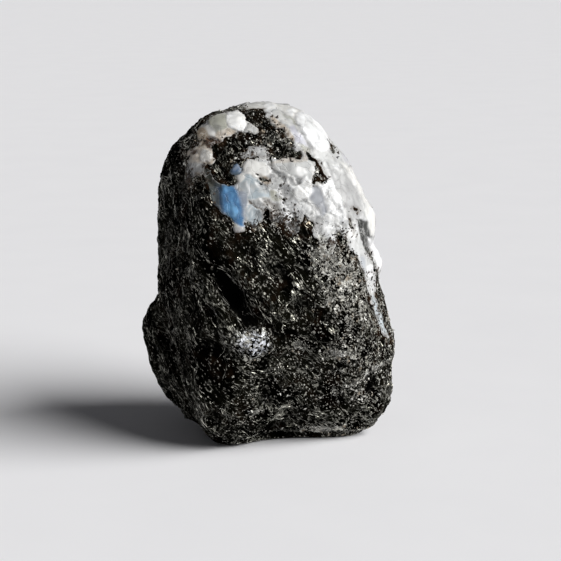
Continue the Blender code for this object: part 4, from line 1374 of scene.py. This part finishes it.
def feldspar_material():
    """Milky translucent feldspar with cleavage cracks and small dark specks."""
    n = Nodes("feldspar")
    place = n.place()
    calm = n.attribute("calm")
    quiet = n.rest(n.times(calm, 0.7))
    bent = n.vector("ADD", place, n.scaled(n.noise(place, 700.0, 2.0, output="Color"), 0.0012))
    facets = n.cells(bent, 1100.0)
    clouds = n.noise(place, 480.0, 4.0)
    dim = feldspar_dimming(n, place, clouds, facets, calm, quiet)
    shaded = n.tinted(n.attribute("tone", "Color"), n.grey(dim))
    crack = n.ramp(n.cell_borders(bent, 520.0), 0.0, 0.03, 1.0, 0.0)
    crack_share = n.times(crack, n.ramp(clouds, 0.45, 0.6, 0.6, 0.0))
    cracked = n.mix(crack_share, shaded, n.tinted(shaded, CRACK_TINT))
    fine_borders = n.cell_borders(n.vector("MULTIPLY", bent, (1.0, 1.0, 0.45)), 1500.0)
    fine_crack = n.times(n.ramp(fine_borders, 0.0, 0.05, 1.0, 0.0), n.times(quiet, 0.35))
    webbed = n.mix(fine_crack, cracked, n.mix(0.3, cracked, PALE))
    fibres = n.crests(n.vector("MULTIPLY", bent, (1.0, 1.0, 0.5)), 900.0, 0.4)
    fibre = n.times(n.ramp(fibres, 0.01, 0.035, 0.45, 0.0), n.rest(calm))
    fibred = n.mix(fibre, webbed, n.mix(0.5, webbed, WHITE))
    speck = n.ramp(n.split(n.cells(place, 1500.0))[0], 0.965, 0.975)
    n.set(Base_Color=n.mix(n.times(speck, n.attribute("dirt")), fibred, DARK_SPECK))
    n.set(Roughness=n.ramp(clouds, 0.3, 0.7, 0.26, 0.46), IOR=1.52, Specular_IOR_Level=0.4)
    n.set(Subsurface_Weight=0.7, Subsurface_Radius=(1.0, 0.95, 0.9), Subsurface_Scale=0.00035)
    leaning = n.tilt(n.normal(), facets, n.times(n.rest(calm), 0.4))
    rough = n.bump(n.noise(place, 1500.0, 3.0, 0.5), 0.00006, n.times(quiet, 0.5), leaning)
    n.set(Normal=n.bump(n.times(crack, -1.0), 0.00005, 0.6, rough))
    return n.material


def pale_grain_material():
    n = Nodes("pale_grains")
    tint = n.split(n.cells(n.place(), 1800.0))
    base = n.mix(n.maths("POWER", tint[0], 1.5), PALE_GRAIN_DARK, PALE_GRAIN_LIGHT)
    n.set(Base_Color=n.mix(n.ramp(tint[1], 0.8, 0.95), base, PALE_GRAIN_TAN))
    n.set(Roughness=0.32, IOR=1.54)
    return n.material


def dark_grain_material():
    n = Nodes("dark_grains")
    tint = n.split(n.cells(n.place(), 1800.0))
    n.set(Base_Color=n.mix(tint[0], DARK_GRAIN_BLACK, DARK_GRAIN_BROWN))
    n.set(Roughness=0.35, IOR=1.55)
    return n.material


def crest_material():
    n = Nodes("mica_crests")
    tint = n.split(n.cells(n.place(), 900.0))
    n.set(Base_Color=n.mix(n.maths("POWER", tint[0], 3.0), CREST_DULL, CREST_BRIGHT))
    n.set(Metallic=n.ramp(tint[1], 0.3, 0.6), Roughness=0.32)
    return n.material


def stage_material():
    n = Nodes("pale_floor")
    n.set(Base_Color=n.mix(n.noise(n.place(), 60.0, 4.0), FLOOR_DARK, FLOOR_LIGHT))
    n.set(Roughness=0.75, Specular_IOR_Level=0.2)
    return n.material


# ---------------------------------------------------------------- the two minerals

def tone_colours(skin, spots, field, cells, calm):
    """The feldspar's colour at each point, with the painted light, shade and sheen of its zones and
    faces.
    """
    cloud = smooth(-0.35, 0.45, fractal_at(skin.points, 3.4, 4, 31))[:, None]
    colours = np.array(GREY) * (1 - cloud) + np.array(PALE) * cloud
    bright = smooth(0.1, 0.5, noise_at(skin.points, 2.6, 32))[:, None]
    colours = colours * (1 - bright) + np.array(MILK) * bright
    veil = smooth(-0.3, 0.2, noise_at(skin.points * STREAK_AXES, 0.38, 37))
    for name, colour, strength, _, soft, outline in ZONES:
        share = strength * zone_share(skin, spots, soft, outline)[:, None]
        if name in STREAKED_ZONES:
            share *= veil[:, None]
        colours = colours * (1 - share) + np.array(colour) * share
    (_, tilt, _), (_, small_tilt, _) = cells
    # Painted light and shade: each face is lighter or darker by how it leans.
    shades = FACE_SHADES * tilt[:, 1] + SMALL_FACE_SHADES * small_tilt[:, 1]
    tone = 1 + shades * (1 - CALMING * calm)
    tone += STREAK_SHADES * noise_at(skin.points * STREAK_AXES, 0.55, 36)
    # Painted shade: the feldspar is darker where it turns away from the front view.
    tone *= FAR_SHADED_TONE + (1 - FAR_SHADED_TONE) * skin.front
    colours = colours * tone[:, None]
    edge = smooth(0.35, -0.1, field + 0.35 * noise_at(skin.points, 0.7, 35))
    stain = STAIN_SHARE * edge[:, None]
    return colours * (1 - stain) + np.minimum(colours, STAIN) * stain


def crowding_at(skin, field):
    """How thickly pale grains stand in the schist."""
    patches = smooth(0.0, 0.5, noise_at(skin.points, 3.0, 41))
    border = smooth(-1.8, 0.0, field)
    crowd = CROWD_EVERYWHERE + CROWD_PATCHES * patches + (CROWD_BORDER + patches) * border
    return np.maximum(crowd + sum_of_ovals(skin, GRAIN_FIELDS), 0.0)


def ride_for_the_stone(piece, material):
    piece.data.materials.append(material)
    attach(piece, "root")


def make_schist(skin):
    """The schist body; returns its points and what its grains and crests need to know there."""
    field = feldspar_field(skin)
    height = schist_height(skin, field) * off_the_foot(skin)
    points = skin.points + skin.normals * height[:, None]
    lift_to_floor(points)
    piece = make_mesh("schist_body", points, skin.quads)
    crowd = crowding_at(skin, field)
    rust = smooth(-1.4, -0.1, field) * smooth(-0.1, 0.3, noise_at(points, 0.9, 43))
    add_number(piece, "crowding", crowd)
    # How far the schist is sunk, which the material uses to paint shade into the hollows.
    add_number(piece, "depth", smooth(0.10, -1.15, height))
    add_number(piece, "fold", smooth(0.0, 0.6, folds_at(skin.points)))
    # Gleam: more and brighter, silvery mica, partly painted highlight.
    add_number(piece, "gleam", np.minimum(sum_of_ovals(skin, GLEAM_FIELDS), 1.0))
    add_number(piece, "rust", rust)
    add_vector(piece, "grain", along_grain(points))
    ride_for_the_stone(piece, schist_material())
    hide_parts(NODE)
    return points, field, crowd, height


def thin_the_back(piece, outer_count):
    """Fewer faces on the cap's inner side, which is sunk in the schist."""
    group = piece.vertex_groups.new(name="inner side")
    group.add(range(outer_count, len(piece.data.vertices)), 1.0, "REPLACE")
    thin = piece.modifiers.new("thin", "DECIMATE")
    thin.vertex_group = group.name
    thin.ratio = CAP_FACES_KEPT
    seen = piece.evaluated_get(bpy.context.evaluated_depsgraph_get())
    mesh = bpy.data.meshes.new_from_object(seen)
    piece.modifiers.clear()
    piece.vertex_groups.clear()
    old = piece.data
    piece.data = mesh
    bpy.data.meshes.remove(old)


def make_feldspar(skin):
    """The feldspar cap; returns its outer skin, that skin's raised points and its field."""
    field = feldspar_field(skin)
    cap, used = skin.part(field > -CAP_OVERLAP)
    field = field[used]
    cells = feldspar_cells(cap)
    spots = zone_spots(cap)
    calm = calm_share(cap, spots)
    height = feldspar_height(cap, spots, field, cells, calm)
    points = cap.points + cap.normals * height[:, None]
    shell, faces = closed_shell(points, cap.quads, cap.points - cap.normals * CAP_DEPTH)
    piece = make_mesh("feldspar_cap", shell, faces)
    add_colour(piece, "tone", np.tile(tone_colours(cap, spots, field, cells, calm), (2, 1)))
    add_number(piece, "dirt", np.tile(0.7 * smooth(0.9, 0.0, field) * (1 - 0.8 * calm), 2))
    add_number(piece, "calm", np.tile(calm, 2))
    thin_the_back(piece, len(points))
    ride_for_the_stone(piece, feldspar_material())
    return cap, points, field


# ---------------------------------------------------------------- loose grains

def random_turns(rng, count):
    """Random rotation matrices."""
    w, x, y, z = units(rng.normal(size=(count, 4))).T
    return np.stack((
        np.stack((1 - 2 * (y * y + z * z), 2 * (x * y - z * w), 2 * (x * z + y * w)), -1),
        np.stack((2 * (x * y + z * w), 1 - 2 * (x * x + z * z), 2 * (y * z - x * w)), -1),
        np.stack((2 * (x * z - y * w), 2 * (y * z + x * w), 1 - 2 * (x * x + y * y)), -1)), 1)


def pick_faces(rng, points, quads, weights, count):
    """Random places on the faces, by area and weight, and the normal at each."""
    a, b, c, d = quad_corners(points, quads)
    across = np.cross(c - a, d - b)
    area = np.linalg.norm(across, axis=1) / 2
    chance = area * weights[quads].mean(axis=1)
    chosen = rng.choice(len(quads), count, p=chance / chance.sum())
    s, t = rng.random((2, count, 1))
    near = a[chosen] * (1 - s) + b[chosen] * s
    far = d[chosen] * (1 - s) + c[chosen] * s
    return near * (1 - t) + far * t, across[chosen] / (2 * area[chosen])[:, None]


def scatter(name, kind, points, quads, weights):
    """Many small eight-sided grains as one mesh."""
    rng = np.random.default_rng(kind["seed"])
    count = kind["count"]
    place, normal = pick_faces(rng, points, quads, weights, count)
    size = kind["smallest"] + kind["spread"] * rng.random((count, 1)) ** kind["rarity"]
    variety = GRAIN_VARIETY[0] + GRAIN_VARIETY[1] * rng.random((count, 3))
    radii = size * np.array(kind["shape"]) * variety
    centres = place - normal * size * kind["sunk"]
    turns = random_turns(rng, count)
    corners = np.einsum("nij,nkj->nki", turns, OCTAHEDRON[None] * radii[:, None, :])
    corners = (centres[:, None, :] + corners).reshape(-1, 3)
    faces = (OCTAHEDRON_FACES[None] + 6 * np.arange(count)[:, None, None]).reshape(-1, 3)
    lift_to_floor(corners)
    return make_mesh(name, corners, faces, smooth_faces=False)


def make_pale_grains(skin, points, field, crowd, height):
    """Pale grains in clusters on the schist, off its foot and out of its pits."""
    clusters = smooth(-0.05, 0.30, noise_at(skin.points, 0.85, 46)) + 0.04
    weights = (crowd**1.5 * clusters * smooth(-0.05, -0.3, field) * off_the_foot(skin)
               * smooth(-1.0, -0.2, height))
    piece = scatter("pale_grains", PALE_GRAINS, points, skin.quads, weights)
    ride_for_the_stone(piece, pale_grain_material())


def make_dark_grains(cap, points, field):
    """Dark grains on the feldspar, along its border and where the front view has them."""
    border = 0.15 * smooth(0.5, 0.0, field)
    weights = np.maximum(sum_of_ovals(cap, DARK_FIELDS) + border, 0) * smooth(-0.1, 0.1, field)
    piece = scatter("dark_grains", DARK_GRAINS, points, cap.quads, weights)
    ride_for_the_stone(piece, dark_grain_material())


# ---------------------------------------------------------------- mica crests

def along_normal(vectors, normal):
    """The part of each vector that runs along the normal."""
    return normal * (vectors * normal).sum(axis=1)[:, None]


def crest_paths(rng, points, normals, field, start):
    """Paths that wind over the schist along its folded needles: places, normals and headings."""
    flow = unit(NEEDLES) + CREST_BEND * noises_at(points, 2.4, (47, 48, 49))
    tree = kdtree.KDTree(len(points))
    for i, point in enumerate(points.tolist()):
        tree.insert(point, i)
    tree.balance()
    step = CREST_STEPS[0] + CREST_STEPS[1] * rng.random((len(start), 1)) ** 3.0
    stray = rng.normal(scale=CREST_STRAY, size=start.shape)
    place = start
    rings = []
    kept = np.ones(len(start), bool)
    for _ in range(CREST_RINGS):
        nearest = np.array([tree.find(point)[1] for point in place.tolist()])
        normal = normals[nearest]
        place = place - along_normal(place - points[nearest], normal)
        kept &= (field[nearest] < 0) & (np.linalg.norm(place - points[nearest], axis=1) < CREST_GAP)
        heading = flow[nearest] + stray
        heading = units(heading - along_normal(heading, normal))
        rings.append((place, normal, heading))
        place = place + heading * step
        stray = stray + rng.normal(scale=CREST_WANDER, size=start.shape)
    return np.array(rings)[:, :, kept]


def crest_corners(paths, width):
    """Three corners on each of a crest's rings: one foot, the top and the other foot."""
    rings = []
    for k, (place, normal, heading) in enumerate(paths):
        taper = 0.25 + math.sin(math.pi * k / (CREST_RINGS - 1))
        side = np.cross(normal, heading) * width * taper
        foot = place - normal * CREST_SUNK
        top = place + normal * width * CREST_RISE
        rings.append(np.stack((foot - side, top, foot + side), axis=1))
    corners = np.stack(rings, axis=1).reshape(-1, 3)
    lift_to_floor(corners)
    return corners


def crest_faces(count):
    """The three long sides of each crest, in quads from ring to ring."""
    first = np.arange(count)[:, None, None] * CREST_RINGS * 3
    ring = first + np.arange(CREST_RINGS - 1)[None, :, None] * 3
    sides = [np.concatenate((ring + a, ring + b, ring + b + 3, ring + a + 3), axis=2)
             for a, b in ((0, 1), (1, 2), (2, 0))]
    return np.concatenate(sides, axis=1).reshape(-1, 4)


def make_crests(skin, points, field, height):
    """Thin winding crests of mica, each a ridge of three long sides sunk in the schist."""
    rng = np.random.default_rng(CREST_SEED)
    weights = (smooth(-0.05, -0.3, field) * off_the_foot(skin) * smooth(-1.3, -0.3, height)
               * smooth(-0.25, 0.30, noise_at(skin.points, 3.0, 45))
               * (0.15 + smooth(0.0, 0.6, folds_at(skin.points))) * (0.35 + 0.65 * skin.front)
               * smooth(-3.0, -1.0, sum_of_ovals(skin, GRAIN_FIELDS)))
    start, _ = pick_faces(rng, points, skin.quads, weights, MICA_CRESTS)
    paths = crest_paths(rng, points, point_normals(points, skin.quads), field, start)
    count = paths.shape[2]
    width = CREST_WIDTHS[0] + CREST_WIDTHS[1] * rng.random((count, 1)) ** 3
    corners = crest_corners(paths, width)
    piece = make_mesh("mica_crests", corners, crest_faces(count), smooth_faces=False)
    ride_for_the_stone(piece, crest_material())


# ---------------------------------------------------------------- stage, light and camera

def make_stage():
    bpy.ops.mesh.primitive_plane_add(size=FLOOR_SIZE, location=(0, 0, -FLOOR_DROP))
    floor = bpy.context.object
    floor.name = "floor"
    floor.data.materials.append(stage_material())


def light_direction(azimuth, elevation):
    """Towards a light, from its angle round from the right (positive towards the back)."""
    a = math.radians(azimuth)
    e = math.radians(elevation)
    return Vector((math.cos(a) * math.cos(e), math.sin(a) * math.cos(e), math.sin(e)))


def make_key_light():
    """A soft light so far away that it's even over the whole floor."""
    data = bpy.data.lights.new("key", "SUN")
    data.angle = math.radians(KEY_SPREAD)
    data.energy = KEY_STRENGTH
    data.color = KEY_COLOUR
    light = bpy.data.objects.new("key", data)
    bpy.context.scene.collection.objects.link(light)
    towards = light_direction(KEY_AZIMUTH, KEY_ELEVATION)
    light.rotation_euler = towards.to_track_quat("Z", "Y").to_euler()


def make_world():
    """A dim room with a pale band at the horizon, where the floor would go on."""
    world = bpy.data.worlds.new("studio")
    world.use_nodes = True
    tree = world.node_tree
    direction = tree.nodes.new("ShaderNodeTexCoord")
    split = tree.nodes.new("ShaderNodeSeparateXYZ")
    tree.links.new(direction.outputs["Generated"], split.inputs[0])
    height = tree.nodes.new("ShaderNodeMapRange")
    height.interpolation_type = "SMOOTHSTEP"
    height.inputs["From Min"].default_value = HORIZON_BAND[0]
    height.inputs["From Max"].default_value = HORIZON_BAND[1]
    tree.links.new(split.outputs["Z"], height.inputs["Value"])
    mix = tree.nodes.new("ShaderNodeMix")
    mix.data_type = "RGBA"
    tree.links.new(height.outputs[0], mix.inputs[0])
    mix.inputs[6].default_value = rgba(HORIZON_COLOUR)
    mix.inputs[7].default_value = rgba(ROOM_COLOUR)
    tree.links.new(mix.outputs[2], tree.nodes["Background"].inputs["Color"])
    bpy.context.scene.world = world


def make_camera():
    data = bpy.data.cameras.new("front view")
    data.lens = VIEW_LENS
    data.sensor_width = VIEW_SENSOR
    data.clip_start = VIEW_NEAR
    data.clip_end = VIEW_FAR
    camera = bpy.data.objects.new("front view", data)
    bpy.context.scene.collection.objects.link(camera)
    _, _, back = view_axes()
    camera.location = Vector(viewpoint() * MM)
    camera.rotation_euler = Vector(-back).to_track_quat("-Z", "Y").to_euler()
    bpy.context.scene.camera = camera


def main():
    make_camera()
    make_stage()
    make_key_light()
    make_world()
    skin = fine_skin(SCHIST_VOXEL)
    points, field, crowd, height = make_schist(skin)
    cap, cap_points, cap_field = make_feldspar(fine_skin(FELDSPAR_VOXEL))
    make_dark_grains(cap, cap_points, cap_field)
    make_pale_grains(skin, points, field, crowd, height)
    make_crests(skin, points, field, height)
    bpy.context.scene.view_settings.view_transform = "Standard"


main()
